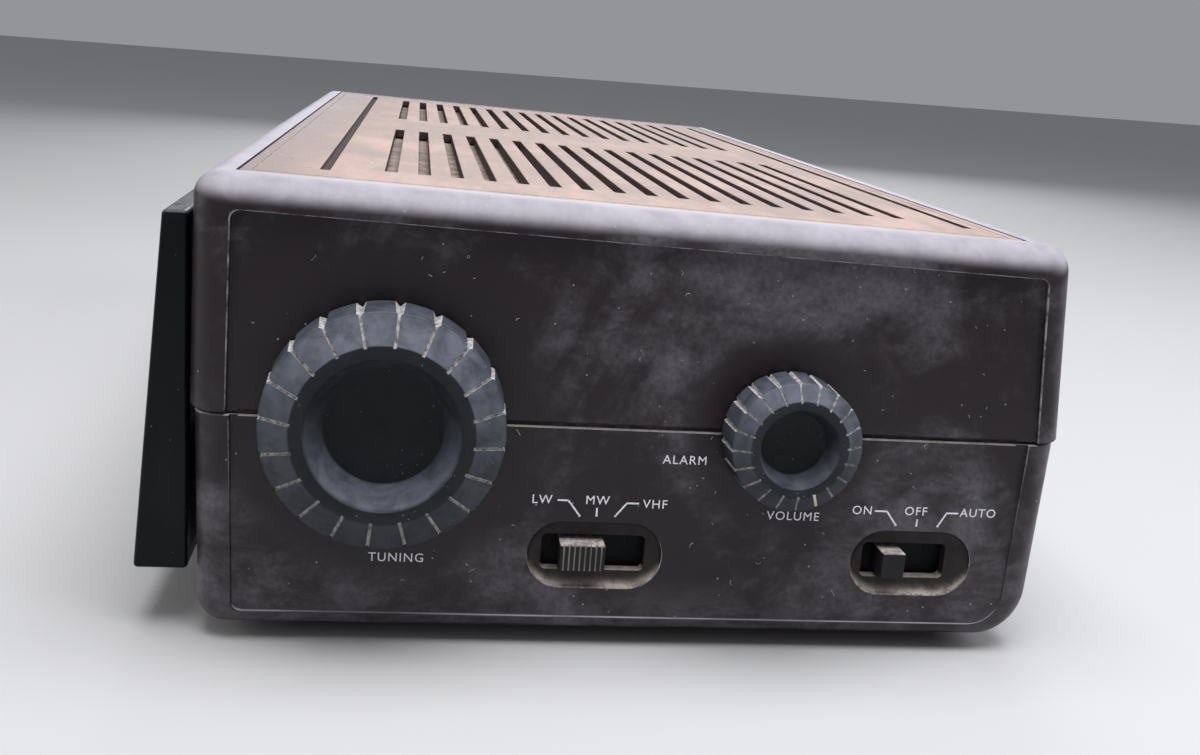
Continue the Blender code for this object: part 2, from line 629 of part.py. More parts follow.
def make_cord(guide, low, high, return_radius, return_z):
    """The dial cord: an endless loop from the spindle over the drum, two guides and the far pulley."""
    leave = math.degrees(math.asin((DRUM_RADIUS - SPINDLE_RADIUS) / DRUM_Y))
    spindle_end = 360 * SPINDLE_TURNS - 90 - leave
    count = 8 * SPINDLE_TURNS
    spindle_x = CORD_X + TURN_PITCH * SPINDLE_TURNS
    path = []
    for k, (y, z) in enumerate(arc(count, (0, 0), SPINDLE_RADIUS, -90, spindle_end)):
        path.append((spindle_x + (CORD_X - spindle_x) * k / count, y, z))
    path += [(CORD_X, y, z) for y, z in arc(22, (DRUM_Y, 0), DRUM_RADIUS, -90 - leave, 90)]
    path += [(x, y, high) for x, y in arc(3, guide, GUIDE_RADIUS, 0, -90)]
    path += [(x, CORD_Y, z) for x, z in arc(14, (RETURN_X, return_z), return_radius, 90, 270)]
    path += [(x, y, low) for x, y in arc(3, guide, GUIDE_RADIUS, -90, 0)]
    curve = bpy.data.curves.new("dial_cord", "CURVE")
    curve.dimensions = "3D"
    curve.bevel_depth = CORD_RADIUS * MM
    curve.bevel_resolution = 2
    spline = curve.splines.new("POLY")
    spline.points.add(len(path) - 1)
    spline.use_cyclic_u = True
    for point, place in zip(spline.points, path):
        point.co = (*(Vector(place) * MM), 1.0)
    cord = bpy.data.objects.new("dial_cord", curve)
    cord.location = DATUM
    PARTS.objects.link(cord)
    keep(cord, "cord")


# ---------------------------------------------------------------- volume and slide switches

def make_volume():
    shaft = ((0, 1.6), (3.0, 1.6), (3.0, -12.0), (0, -12.0))
    keep(turned("volume_shaft", shaft, (0, VOLUME_Y, 0), "X", 20), "steel")
    body = ((3.3, -4.4), (5.0, -4.4), (5.0, -7.5), (8.4, -7.5), (8.4, -17.8), (0, -17.8), (0, -12.6),
            (3.3, -12.6), (3.3, -4.4))
    keep(turned("volume_control", body, (0, VOLUME_Y, 0), "X", 24), "steel")


def make_slide_switch(prefix, switch):
    """A slide switch behind the end panel: a body with a channel, and a slider with a finger nub."""
    middle, half, reach = switch["at"], switch["width"] / 2, switch["carriage"]
    front, back = middle - reach, middle + reach + switch["travel"]
    inner = -END_WALL - GAP
    body = blocks(prefix + "_switch", [((-17.6, front - 1.0, -28.6), (inner - 0.1, back + 1.0, -14.8))])
    channel = blocks(prefix + "_channel",
                     [((inner - 3.6, front - 0.4, -27.3), (inner + 2, back + 0.4, -18.7))])
    keep(cut(body, channel), "black")
    nub = bevelled(blocks(prefix + "_nub", [((inner - 1.5, -half, -2.45), (1.5, half, 2.35))]), 0.35)
    slider = blocks(prefix + "_slider", [((inner - 3.2, -reach, -4.0), (inner - 0.3, reach, 4.0))])
    for piece in (nub, slider):
        piece.location = at(0, middle, -23.2)
    join(slider, nub)
    if switch["ribs"]:
        ribs = blocks(prefix + "_ribs",
                      [((1.1, -half + 0.55 + k * 0.94, -3), (2.5, -half + 0.95 + k * 0.94, 3))
                       for k in range(switch["ribs"])])
        ribs.location = slider.location
        cut(slider, ribs)
    keep(slider, "black")


# ---------------------------------------------------------------- inside

def make_boards():
    keep(blocks("control_board", [((-19.6, 22.0, -31.0), (-18.1, 113.0, 11.0))]), "board")
    board = blocks("main_board", [((-230.0, -8.0, -28.4), (-50.0, 94.4, -26.8))])
    holes = [rod(f"board_screw_hole_{k}", 1.6, (x, y, -30.0), (x, y, -25.0), 10)
             for k, (x, y) in enumerate(BOARD_POSTS)]
    keep(cut(board, *holes), "board")
    can = ((0, 34.0), (8.0, 34.0), (8.6, 33.4), (8.6, 0.3), (0, 0.3))
    keep(turned("filter_capacitor", can, (-212, 26, -26.8), "Z", 20), "gloss_black")


def make_transformer():
    core = blocks("transformer_core", [((-290.0, 60.0, -35.2), (-242.0, 82.0, 4.8))])
    windows = blocks("core_windows", [((-281.8, 55.0, -27.0), (-273.0, 90.0, -3.4)),
                                      ((-259.0, 55.0, -27.0), (-250.2, 90.0, -3.4))])
    keep(cut(core, windows), "iron")
    winding = bevelled(blocks("transformer_winding", [((-281.4, 50.5, -26.6), (-250.6, 91.5, -3.8))]), 2.0)
    limb = blocks("limb_hole", [((-273.4, 59.6, -30.0), (-258.6, 82.4, 0.0))])
    keep(cut(winding, limb), "copper")


def make_speaker(top):
    x, y = SPEAKER[0] - CENTRE, SPEAKER[1]
    frame = ((35.5, -2.5), (40.0, -2.5), (40.0, -4.0), (38.0, -4.0), (31.0, -14.0), (20.0, -22.0),
             (20.0, -23.0), (11.5, -23.0), (11.5, -21.5), (19.0, -21.0), (29.5, -13.0), (36.0, -3.7),
             (35.5, -2.5))
    cone = ((0, -11.0), (7.0, -10.0), (33.5, -3.6), (35.1, -3.0), (35.1, -3.8), (33.5, -4.8), (10.8, -15.5),
            (10.8, -22.5), (9.8, -22.5), (9.8, -15.0), (0, -12.0))
    magnet = ((0, -19.0), (8.8, -19.0), (8.8, -23.4), (22.0, -23.4), (22.0, -33.5), (0, -33.5))
    for name, profile, finish, steps in (("speaker_frame", frame, "iron", 32),
                                         ("speaker_cone", cone, "paper", 32),
                                         ("speaker_magnet", magnet, "ferrite", 28)):
        piece = turned(name, profile, (0, 0, 0), "Z", steps)
        lay_on(top, piece, (x, y, 0))
        keep(piece, finish)


def make_aerial():
    y, z = 101.0, 14.0
    keep(rod("ferrite_rod", 4.8, (-60.0, y, z), (-200.0, y, z), 16), "ferrite")
    for name, start, end in (("medium_wave_coil", -78.0, -104.0), ("long_wave_coil", -150.0, -184.0)):
        length = start - end
        profile = ((5.1, length), (6.6, length), (6.6, 0), (5.1, 0), (5.1, length))
        keep(turned(name, profile, (end, y, z), "X", 20), "copper")
    holder = blocks("rod_holder", [((-140.0, 98.4, -35.2), (-116.0, 103.6, -33.0))])
    posts = [blocks(f"holder_post_{k}", [((x, 94.8, -34.0), (x + 3, 107.2, 22.0))])
             for k, x in enumerate((-139, -120))]
    bore = rod("holder_bore", 5.1, (-145.0, y, z), (-110.0, y, z), 16)
    keep(cut(join(holder, *posts), bore), "white")


def main():
    top = plane_guide("top_plane", (CENTRE, 0, TOP_RISE), -math.atan(TOP_SLOPE))
    face = plane_guide("front_plane", (CENTRE, *FACE_CENTRE), -FACE_LEAN)
    upper = make_upper_shell(top)
    lower = make_lower_shell()
    cut_controls(upper, lower)
    keep(upper, "cabinet")
    keep(lower, "cabinet")
    keep(make_grille(top), "grille")
    keep(make_gland(), "black")
    make_fasteners()
    make_front(face)
    make_clock()
    make_knobs()
    make_tuning_drive()
    make_dial()
    make_volume()
    make_slide_switch("band", BAND_SWITCH)
    make_slide_switch("auto", AUTO_SWITCH)
    make_boards()
    make_transformer()
    make_speaker(top)
    make_aerial()


main()
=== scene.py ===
"""Looks of the mains table clock radio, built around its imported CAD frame.

Lengths are written in millimetres from the datum, the point where the tuning shaft's axis meets the plane
of the control end: x points out of that end, y from front to back, z up. at() gives world metres.
"""
import math
import random

import bmesh
import bpy
from mathutils import Matrix, Vector


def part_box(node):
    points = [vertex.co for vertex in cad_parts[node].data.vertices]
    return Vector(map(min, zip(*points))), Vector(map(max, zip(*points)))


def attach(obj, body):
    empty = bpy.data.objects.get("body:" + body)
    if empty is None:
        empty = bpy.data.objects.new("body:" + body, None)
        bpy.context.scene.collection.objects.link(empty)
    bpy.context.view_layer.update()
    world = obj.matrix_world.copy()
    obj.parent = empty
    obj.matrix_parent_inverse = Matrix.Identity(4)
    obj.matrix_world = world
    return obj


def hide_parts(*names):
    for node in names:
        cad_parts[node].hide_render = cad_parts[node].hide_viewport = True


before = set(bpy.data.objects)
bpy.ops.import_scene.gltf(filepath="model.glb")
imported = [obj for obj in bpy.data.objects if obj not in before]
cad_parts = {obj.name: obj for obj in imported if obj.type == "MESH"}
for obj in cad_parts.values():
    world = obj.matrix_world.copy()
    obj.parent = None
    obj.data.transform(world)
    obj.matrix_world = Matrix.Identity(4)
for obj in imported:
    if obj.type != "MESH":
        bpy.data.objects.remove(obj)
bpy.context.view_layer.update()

MM = 0.001


def middle_of(node):
    low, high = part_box(node)
    return (low + high) / 2


UPPER_LOW, UPPER_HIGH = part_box("upper_shell")
DATUM = Vector((UPPER_HIGH.x, middle_of("tuning_shaft").y, middle_of("tuning_shaft").z))
LENGTH = (UPPER_HIGH.x - UPPER_LOW.x) / MM
CENTRE = -LENGTH / 2
VOLUME_Y = (middle_of("volume_shaft").y - DATUM.y) / MM
BASE = (DATUM.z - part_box("lower_shell")[0].z) / MM

# The cabinet's end view: front and back at the parting line, then at the top or bottom edge.
TOP_RISE = 38.5
TOP_SLOPE = 0.028
UPPER_CORNERS = ((-32.3, 0.0), (-31.8, TOP_RISE + 31.8 * TOP_SLOPE), (117.9, TOP_RISE - 117.9 * TOP_SLOPE),
                 (121.0, 0.0))
LOWER_CORNERS = ((-31.5, 0.0), (-30.7, -BASE), (119.2, -BASE), (120.3, 0.0))
UPPER_RIM = (6.4, 5.6, 5.4)
LOWER_RIM = (6.2, 3.2, 6.3)
SEAM = 0.3
WALL = 2.5
END_WALL = 4.0

FACE_TOP = (-36.9, 32.4)
FACE_FOOT = (-41.7, -29.5)
FACE_LEAN = math.atan2(FACE_TOP[0] - FACE_FOOT[0], FACE_TOP[1] - FACE_FOOT[1])
FACE_CENTRE = ((FACE_TOP[0] + FACE_FOOT[0]) / 2, (FACE_TOP[1] + FACE_FOOT[1]) / 2)

# The push buttons: CAD node, body, label, its words and the button's place along the cabinet.
BUTTONS = (("snooze_bar", "snooze", "label_snooze", "SNOOZE", -200.0),
           ("hour_button", "hour", "label_hour", "HOUR", -232.5),
           ("minute_button", "minute", "label_minute", "MIN", -247.5),
           ("alarm_button", "alarm", "label_wake", "ALARM", -262.5),
           ("sleep_button", "sleep", "label_sleep", "SLEEP", -277.5))
BUTTON_RISE = -22.0
BUTTON_HALF = 3.0

# The window, in the plane of the front's face.
WINDOW_HALF = 146.0
WINDOW_LOW = -12.0
WINDOW_HIGH = 25.0
GAP = 0.3

GRILLE_FRONT = -25.4
GRILLE_BACK = 111.5
GRILLE_HALF = 150.0


def at(x, y, z):
    return DATUM + Vector((x, y, z)) * MM


def span_of(node):
    """The two corners of a CAD node's box, in millimetres from the datum."""
    low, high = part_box(node)
    return (low - DATUM) / MM, (high - DATUM) / MM


def place_of(node):
    low, high = span_of(node)
    return (low + high) / 2


# ---- materials

MATERIALS = {}


class Shader:
    def __init__(self, name, roughness=0.5, metallic=0.0, coat=0.0, specular=0.5):
        self.name = name
        self.material = bpy.data.materials.new(name)
        self.material.use_nodes = True
        self.tree = self.material.node_tree
        self.surface = self.tree.nodes["Principled BSDF"]
        self.surface.inputs["Roughness"].default_value = roughness
        self.surface.inputs["Metallic"].default_value = metallic
        self.surface.inputs["Coat Weight"].default_value = coat
        self.surface.inputs["Specular IOR Level"].default_value = specular
        self.place = self.node("ShaderNodeTexCoord").outputs["Object"]

    def node(self, kind, **settings):
        made = self.tree.nodes.new(kind)
        for key, value in settings.items():
            setattr(made, key, value)
        return made

    def feed(self, socket, value):
        if isinstance(value, bpy.types.NodeSocket):
            self.tree.links.new(value, socket)
        else:
            socket.default_value = value

    def maths(self, operation, *values, clamp=False):
        node = self.node("ShaderNodeMath", operation=operation, use_clamp=clamp)
        for socket, value in zip(node.inputs, values):
            self.feed(socket, value)
        return node.outputs[0]

    def times(self, first, second, clamp=False):
        return self.maths("MULTIPLY", first, second, clamp=clamp)

    def plus(self, first, second):
        return self.maths("ADD", first, second)

    def larger(self, first, second, clamp=False):
        return self.maths("MAXIMUM", first, second, clamp=clamp)

    def noise(self, size, detail=3.0, roughness=0.55, stretch=(1, 1, 1), distortion=0.0):
        """Noise whose blotches are about size millimetres across."""
        mapping = self.node("ShaderNodeMapping")
        self.feed(mapping.inputs["Vector"], self.place)
        mapping.inputs["Scale"].default_value = stretch
        node = self.node("ShaderNodeTexNoise")
        self.feed(node.inputs["Vector"], mapping.outputs["Vector"])
        node.inputs["Scale"].default_value = 1 / (size * MM)
        node.inputs["Detail"].default_value = detail
        node.inputs["Roughness"].default_value = roughness
        node.inputs["Distortion"].default_value = distortion
        return node.outputs["Fac"]

    def cells(self, size, feature="F1"):
        node = self.node("ShaderNodeTexVoronoi", feature=feature)
        self.feed(node.inputs["Vector"], self.place)
        node.inputs["Scale"].default_value = 1 / (size * MM)
        return node.outputs["Distance"]

    def bands(self, direction, scale, distortion):
        node = self.node("ShaderNodeTexWave", wave_type="BANDS", bands_direction=direction)
        self.feed(node.inputs["Vector"], self.place)
        node.inputs["Scale"].default_value = scale
        node.inputs["Distortion"].default_value = distortion
        return node.outputs["Fac"]

    def span(self, value, low, high, to_low=0.0, to_high=1.0):
        """Maps a range of values to another, clamped."""
        node = self.node("ShaderNodeMapRange", interpolation_type="SMOOTHSTEP")
        self.feed(node.inputs["Value"], value)
        for key, number in (("From Min", low), ("From Max", high), ("To Min", to_low), ("To Max", to_high)):
            node.inputs[key].default_value = number
        return node.outputs["Result"]

    def mix(self, amount, first, second):
        node = self.node("ShaderNodeMix", data_type="RGBA")
        self.feed(node.inputs["Factor"], amount)
        for key, colour in ((6, first), (7, second)):
            self.feed(node.inputs[key], colour if isinstance(colour, bpy.types.NodeSocket) else (*colour, 1))
        return node.outputs[2]

    def parts(self, vector):
        node = self.node("ShaderNodeSeparateXYZ")
        self.feed(node.inputs[0], vector)
        return node.outputs

    def facing_up(self):
        return self.parts(self.node("ShaderNodeNewGeometry").outputs["Normal"])["Z"]

    def distance(self, point):
        """Distance in metres from a line through a world point along X."""
        node = self.node("ShaderNodeVectorMath", operation="SUBTRACT")
        self.feed(node.inputs[0], self.place)
        node.inputs[1].default_value = point
        offset = self.parts(node.outputs[0])
        return self.maths("SQRT", self.plus(*(self.maths("POWER", offset[key], 2.0) for key in "YZ")))

    def bump(self, height, depth, strength=1.0, under=None):
        node = self.node("ShaderNodeBump")
        self.feed(node.inputs["Height"], height)
        node.inputs["Distance"].default_value = depth * MM
        node.inputs["Strength"].default_value = strength
        if under is not None:
            self.feed(node.inputs["Normal"], under)
        return node.outputs["Normal"]

    def finish(self, colour=None, roughness=None, normal=None):
        for key, value in (("Base Color", colour), ("Roughness", roughness), ("Normal", normal)):
            if value is not None:
                self.feed(self.surface.inputs[key], value)
        MATERIALS[self.name] = self.material
        return self.material


def cabinet_material():
    """Dark brown moulded plastic under patchy grey dust, wiped clean round the knobs, with fine scratches;
    up-facing faces get a pale lavender colour that is dust and a painted sheen.
    """
    m = Shader("cabinet", roughness=0.36, specular=0.34)
    broad = m.noise(46, 5, 0.62, distortion=0.8)
    torn = m.noise(9, 8, 0.72, stretch=(1, 0.7, 1), distortion=0.35)
    film = m.span(m.plus(m.times(broad, 0.6), m.times(torn, 0.4)), 0.46, 0.64)
    film = m.times(film, m.span(m.noise(0.9, 4, 0.7), 0.3, 0.65, 0.6, 1.1))
    low = m.span(m.parts(m.place)["Z"], -36 * MM, -25 * MM, 0.5, 0.0)
    film = m.larger(film, m.times(low, m.span(torn, 0.4, 0.6)))
    away = m.span(m.parts(m.place)["X"], -30 * MM, -12 * MM, 1.0, 0.0)
    for point, wiped in ((Vector((0, 0, 0)), 33.0), (Vector((0, VOLUME_Y, 0)) * MM, 20.0)):
        outside = m.span(m.distance(point), wiped * 0.72 * MM, wiped * MM)
        film = m.times(film, m.larger(outside, away))
    up = m.span(m.facing_up(), 0.06, 0.6)
    # Up-facing faces, the rim's rounding most of all: dust and a painted sheen of the light from above.
    lying = m.times(up, m.span(m.noise(5, 6, 0.65), 0.3, 0.7, 0.7, 0.95))
    dust = m.larger(m.times(film, 0.27), lying, clamp=True)
    specks = m.span(m.cells(2.6), 0.085, 0.05)
    chosen = m.span(m.noise(9, 2), 0.5, 0.56)
    grit = m.times(m.times(specks, chosen), 0.6)
    brown = m.mix(m.noise(60, 2), (0.0105, 0.0062, 0.0085), (0.0155, 0.0095, 0.0125))
    # Pale lavender: the dust film on the face, and dust with a painted sheen on up-facing faces.
    colour = m.mix(dust, brown, (0.33, 0.312, 0.345))
    colour = m.mix(grit, colour, (0.42, 0.39, 0.37))
    wear = m.span(m.noise(5, 5, 0.7), 0.3, 0.7, 0.31, 0.43)
    roughness = m.plus(wear, m.times(dust, 0.22))
    scratches = m.span(m.noise(0.5, 3, 0.5, stretch=(1, 0.05, 1), distortion=0.6), 0.66, 0.72)
    grain = m.bump(m.noise(0.22, 3, 0.6), 0.012, 0.5)
    return m.finish(colour, roughness, m.bump(scratches, -0.01, 0.5, grain))


def grille_material():
    """Brown plastic under a film of tan dust, wiped thin in streaks."""
    m = Shader("grille", roughness=0.6)
    broad = m.noise(42, 4, 0.6, distortion=0.5)
    streaks = m.noise(6, 5, 0.7, stretch=(0.22, 1, 1))
    up = m.span(m.facing_up(), 0.3, 0.95)
    film = m.times(up, m.span(m.plus(broad, m.times(streaks, 0.7)), 0.6, 1.1, 0.45, 1.0))
    clumps = m.span(m.noise(0.9, 5, 0.7), 0.55, 0.75)
    toward_front = m.span(m.parts(m.place)["Y"], -26 * MM, -4 * MM, 0.45, 1.0)
    film = m.times(film, toward_front)
    colour = m.mix(film, (0.034, 0.02, 0.017), (0.35, 0.255, 0.215))
    colour = m.mix(m.times(clumps, 0.3), colour, (0.4, 0.33, 0.29))
    colour = m.mix(m.times(m.span(m.cells(3.1), 0.08, 0.04), 0.7), colour, (0.62, 0.55, 0.5))
    normal = m.bump(m.noise(0.5, 4, 0.7), 0.05, 0.6)
    return m.finish(colour, m.span(film, 0.0, 1.0, 0.42, 0.8), normal)


def bezel_material():
    """Glossy black plastic with settled dust specks and soft wipe marks."""
    m = Shader("bezel", roughness=0.16, specular=0.12)
    haze = m.span(m.noise(24, 5, 0.6, distortion=0.8), 0.45, 0.75, 0.0, 0.04)
    lying = m.times(m.span(m.facing_up(), 0.25, 0.9), m.span(m.noise(1.5, 5, 0.7), 0.35, 0.6, 0.15, 0.6))
    specks = m.times(m.span(m.cells(1.9), 0.09, 0.05), m.span(m.noise(7, 2), 0.46, 0.54))
    colour = m.mix(m.larger(haze, lying), (0.0045, 0.0058, 0.0072), (0.16, 0.16, 0.17))
    colour = m.mix(m.times(specks, 0.4), colour, (0.4, 0.4, 0.4))
    roughness = m.plus(m.span(m.noise(6, 4, 0.7), 0.35, 0.7, 0.13, 0.24), m.times(lying, 0.5))
    return m.finish(colour, roughness, m.bump(m.noise(0.7, 3), 0.008, 0.4))


def knob_material(name, zones):
    """Black plastic; zones give how much blue-grey dust lies at each distance from the axis, and the dust is
    scaled by how far a face turns up, which paints light and shade.
    """
    m = Shader(name, roughness=0.45, specular=0.2)
    radius = m.distance((0, 0, 0))
    ramp = m.node("ShaderNodeValToRGB")
    outer = zones[-1][0]
    m.feed(ramp.inputs["Fac"], m.maths("DIVIDE", radius, outer * MM))
    ramp.color_ramp.elements.remove(ramp.color_ramp.elements[1])
    ramp.color_ramp.elements[0].position = 0.0
    ramp.color_ramp.elements[0].color = (zones[0][1],) * 3 + (1,)
    for reach, amount in zones[1:]:
        stop = ramp.color_ramp.elements.new(reach / outer)
        stop.color = (amount,) * 3 + (1,)
    blotch = m.span(m.noise(4.5, 5, 0.65, distortion=0.5), 0.25, 0.7, 0.45, 1.15)
    # Painted light and shade with the dust: faces turned up get more, faces turned down, such as the top of
    # the cup's cone, get less.
    dust_and_light_by_facing = m.span(m.facing_up(), -0.5, 0.75, 0.4, 1.7)
    dust = m.times(m.times(ramp.outputs["Color"], blotch), dust_and_light_by_facing, clamp=True)
    colour = m.mix(dust, (0.004, 0.006, 0.008), (0.27, 0.285, 0.345))
    specks = m.times(m.span(m.cells(1.3), 0.1, 0.05), m.span(m.noise(5, 2), 0.45, 0.6))
    colour = m.mix(m.times(specks, 0.45), colour, (0.45, 0.44, 0.42))
    roughness = m.plus(m.span(m.noise(2.2, 4, 0.7), 0.3, 0.7, 0.36, 0.5), m.times(dust, 0.3))
    return m.finish(colour, roughness, m.bump(m.noise(0.3, 3, 0.6), 0.014, 0.5))


def dust_material(name, colour, dark, size=0.8):
    """Caked dust that lies in grooves and on ledges; in its near-black form it is painted shade in gaps and
    grooves, with grime.
    """
    m = Shader(name, roughness=0.95)
    lumps = m.noise(size, 6, 0.75)
    shade = m.mix(m.span(lumps, 0.34, 0.62), dark, colour)
    return m.finish(shade, normal=m.bump(lumps, 0.12, 0.8))


def cloth_material():
    """Brown woven cloth, greyed by the dust that falls through the slots."""
    m = Shader("cloth", roughness=0.95, specular=0.1)
    weave = m.bands("DIAGONAL", 700.0, 0.5)
    settled = m.span(m.noise(5, 6, 0.7), 0.35, 0.65, 0.45, 0.95)
    thread = m.mix(weave, (0.012, 0.009, 0.008), (0.035, 0.026, 0.022))
    return m.finish(m.mix(settled, thread, (0.3, 0.235, 0.2)), normal=m.bump(weave, 0.1, 0.7))


def lip_material():
    """The bowl round a switch: tan dust thick on its lower half, thin round the sides and top."""
    m = Shader("lip", roughness=0.6, specular=0.15)
    up = m.span(m.facing_up(), 0.06, 0.7, 0.05, 1.0)
    caught = m.span(m.noise(2.2, 6, 0.75), 0.3, 0.62, 0.35, 1.0)
    cover = m.times(up, caught, clamp=True)
    shade = m.mix(cover, (0.009, 0.0065, 0.0075), (0.36, 0.31, 0.27))
    return m.finish(shade, m.span(cover, 0, 1, 0.4, 0.9), m.bump(m.noise(0.6, 5, 0.7), 0.05, 0.7))


def edge_dust_and_highlight_material(name, colour, fullness):
    """Broken lines of dust and a painted highlight along an edge, fading towards the bottom of the cabinet.
    """
    m = Shader(name, roughness=0.7)
    # The painted highlight and the dust fade towards the bottom, strongest where the light falls from above.
    height = m.span(m.parts(m.place)["Z"], -26 * MM, 14 * MM)
    caught = m.span(m.noise(3.5, 6, 0.75), 0.35, 0.6)
    cover = m.times(m.times(height, caught), fullness, clamp=True)
    shade = m.mix(cover, (0.02, 0.015, 0.017), colour)
    return m.finish(shade, m.span(cover, 0, 1, 0.4, 0.9), m.bump(m.noise(0.5, 4), 0.03, 0.5))


def simple_material(name, colour, roughness, metallic=0.0, dust=0.25, dusty=(0.28, 0.25, 0.22), grain=0.4,
                    coat=0.0, specular=0.5):
    """A moulded, pressed or plated piece: slight colour drift, fine grain and dust on its upper sides."""
    m = Shader(name, roughness=roughness, metallic=metallic, coat=coat, specular=specular)
    drift = m.span(m.noise(8, 3), 0.3, 0.7, 0.75, 1.2)
    tinted = m.node("ShaderNodeVectorMath", operation="SCALE")
    tinted.inputs[0].default_value = colour
    m.feed(tinted.inputs["Scale"], drift)
    up = m.times(m.span(m.facing_up(), 0.2, 1.0), dust)
    lying = m.times(up, m.span(m.noise(1.4, 5, 0.7), 0.35, 0.62, 0.3, 1.0), clamp=True)
    shade = m.mix(lying, tinted.outputs[0], dusty)
    worn = m.span(m.noise(3, 4, 0.7), 0.3, 0.7, roughness - 0.06, roughness + 0.08)
    return m.finish(shade, m.plus(worn, m.times(lying, 0.3)), m.bump(m.noise(grain, 3, 0.6), 0.012, 0.5))


def brushed_metal(name, colour):
    """Turned or plated metal with fine lines across its length."""
    m = Shader(name, roughness=0.32, metallic=1.0)
    lines = m.noise(0.5, 4, 0.6, stretch=(0.06, 1, 1))
    shade = m.mix(m.span(m.noise(6, 4), 0.4, 0.75), colour, tuple(c * 0.55 for c in colour))
    return m.finish(shade, m.span(lines, 0.3, 0.7, 0.24, 0.44), m.bump(lines, 0.01, 0.5))


def board_material():
    """Phenolic board: brown laminate, thin solder tracks as bright wandering lines."""
    m = Shader("board", roughness=0.5)
    fibre = m.noise(1.2, 4, 0.6, stretch=(0.3, 1, 1))
    base = m.mix(fibre, (0.2, 0.1, 0.035), (0.32, 0.18, 0.07))
    tracks = m.span(m.cells(7, "DISTANCE_TO_EDGE"), 0.05, 0.03)
    colour = m.mix(m.times(tracks, 0.7), base, (0.36, 0.28, 0.2))
    return m.finish(colour, m.span(tracks, 0, 1, 0.55, 0.3), m.bump(tracks, 0.05, 0.5))


def winding_material(name, colour):
    """Wire wound in close turns."""
    m = Shader(name, roughness=0.35, metallic=0.6)
    turns = m.bands("X", 900.0, 0.4)
    shade = m.mix(turns, tuple(c * 0.35 for c in colour), colour)
    return m.finish(shade, m.span(m.noise(2, 3), 0.3, 0.7, 0.3, 0.5), m.bump(turns, 0.15, 0.8))


def window_material():
    """Smoked acrylic: dark, clear, faintly hazy with dust."""
    m = Shader("window", roughness=0.04)
    m.surface.inputs["Transmission Weight"].default_value = 1.0
    m.surface.inputs["IOR"].default_value = 1.49
    haze = m.span(m.noise(16, 5, 0.65, distortion=0.6), 0.5, 0.8, 0.0, 0.12)
    specks = m.times(m.span(m.cells(2.2), 0.08, 0.045), 0.5)
    colour = m.mix(m.larger(haze, specks), (0.46, 0.33, 0.31), (0.5, 0.5, 0.5))
    return m.finish(colour, m.span(haze, 0.0, 0.12, 0.03, 0.16))


def lettering_material():
    m = Shader("lettering", roughness=0.5)
    worn = m.span(m.noise(0.5, 4, 0.7), 0.3, 0.5)
    return m.finish(m.mix(worn, (0.45, 0.45, 0.47), (0.8, 0.81, 0.84)), m.span(worn, 0, 1, 0.7, 0.45))


def segment_material(name, colour, glow):
    m = Shader(name, roughness=0.4)
    shade = m.mix(m.noise(2.0, 3), tuple(c * 0.7 for c in colour), colour)
    m.feed(m.surface.inputs["Emission Color"], shade)
    m.surface.inputs["Emission Strength"].default_value = glow
    return m.finish(shade, m.span(m.noise(1.0, 3), 0.3, 0.7, 0.3, 0.5))


cabinet_material()
grille_material()
bezel_material()
window_material()
lettering_material()
dust_material("groove_dust", (0.5, 0.485, 0.46), (0.1, 0.098, 0.1))
dust_material("ledge_dust", (0.37, 0.34, 0.31), (0.08, 0.07, 0.068), 1.1)
cloth_material()
lip_material()
# Pale lines along the panel's step and the lower seam edge: dust and a painted highlight of the lit edge.
edge_dust_and_highlight_material("step_dust_and_highlight", (0.4, 0.4, 0.42), 0.75)
edge_dust_and_highlight_material("seam_dust_and_highlight", (0.36, 0.32, 0.29), 0.8)
# Near-black colour for the parting gap, the grille's seat and its grooves: painted shade in these crevices,
# with grime.
dust_material("seam_shade_and_grime", (0.05, 0.034, 0.028), (0.008, 0.006, 0.005), 2.2)
brushed_metal("steel", (0.52, 0.52, 0.52))
brushed_metal("brass", (0.62, 0.46, 0.2))
board_material()
winding_material("copper", (0.5, 0.2, 0.08))
segment_material("segment", (0.42, 0.03, 0.015), 0.12)
segment_material("segment_off", (0.05, 0.006, 0.005), 0.0)
for name, colour, roughness, details in (
        ("lint", (0.5, 0.48, 0.46), 0.9, dict(dust=0.0)),
        ("pointer_mark", (0.62, 0.55, 0.36), 0.5, dict(dust=0.1)),
        ("nub", (0.01, 0.01, 0.011), 0.5, dict(dust=1.0, dusty=(0.5, 0.45, 0.42), grain=0.3, specular=0.25)),
        ("rib_dust", (0.4, 0.37, 0.34), 0.8, dict(dust=0.6, grain=0.3)),
        ("black", (0.003, 0.004, 0.005), 0.5, dict(dust=0.03, specular=0.12)),
        ("button", (0.012, 0.012, 0.013), 0.3, dict(dust=0.5, coat=0.15)),
        ("rubber", (0.012, 0.012, 0.012), 0.85, dict(grain=0.8)),
        ("white", (0.62, 0.6, 0.53), 0.5, dict(dust=0.5)),
        ("red", (0.75, 0.05, 0.02), 0.35, dict(dust=0.1)),
        ("iron", (0.07, 0.07, 0.075), 0.45, dict(metallic=0.8, dust=0.6)),
        ("ferrite", (0.03, 0.03, 0.033), 0.65, dict(dust=0.5)),
        ("paper", (0.02, 0.019, 0.018), 0.95, dict(dust=0.6, grain=1.2)),
        ("sleeve", (0.01, 0.02, 0.09), 0.3, dict(dust=0.6)),
        ("cord", (0.5, 0.47, 0.38), 0.9, dict(grain=0.6)),
        ("scale", (0.006, 0.006, 0.007), 0.5, dict(dust=0.1)),
        ("scale_print", (0.66, 0.66, 0.62), 0.5, dict(dust=0.1))):
    simple_material(name, colour, roughness, **details)


# ---- mesh helpers

def shifted(x, y, z):
    return Matrix.Translation(Vector((x, y, z)) * MM)


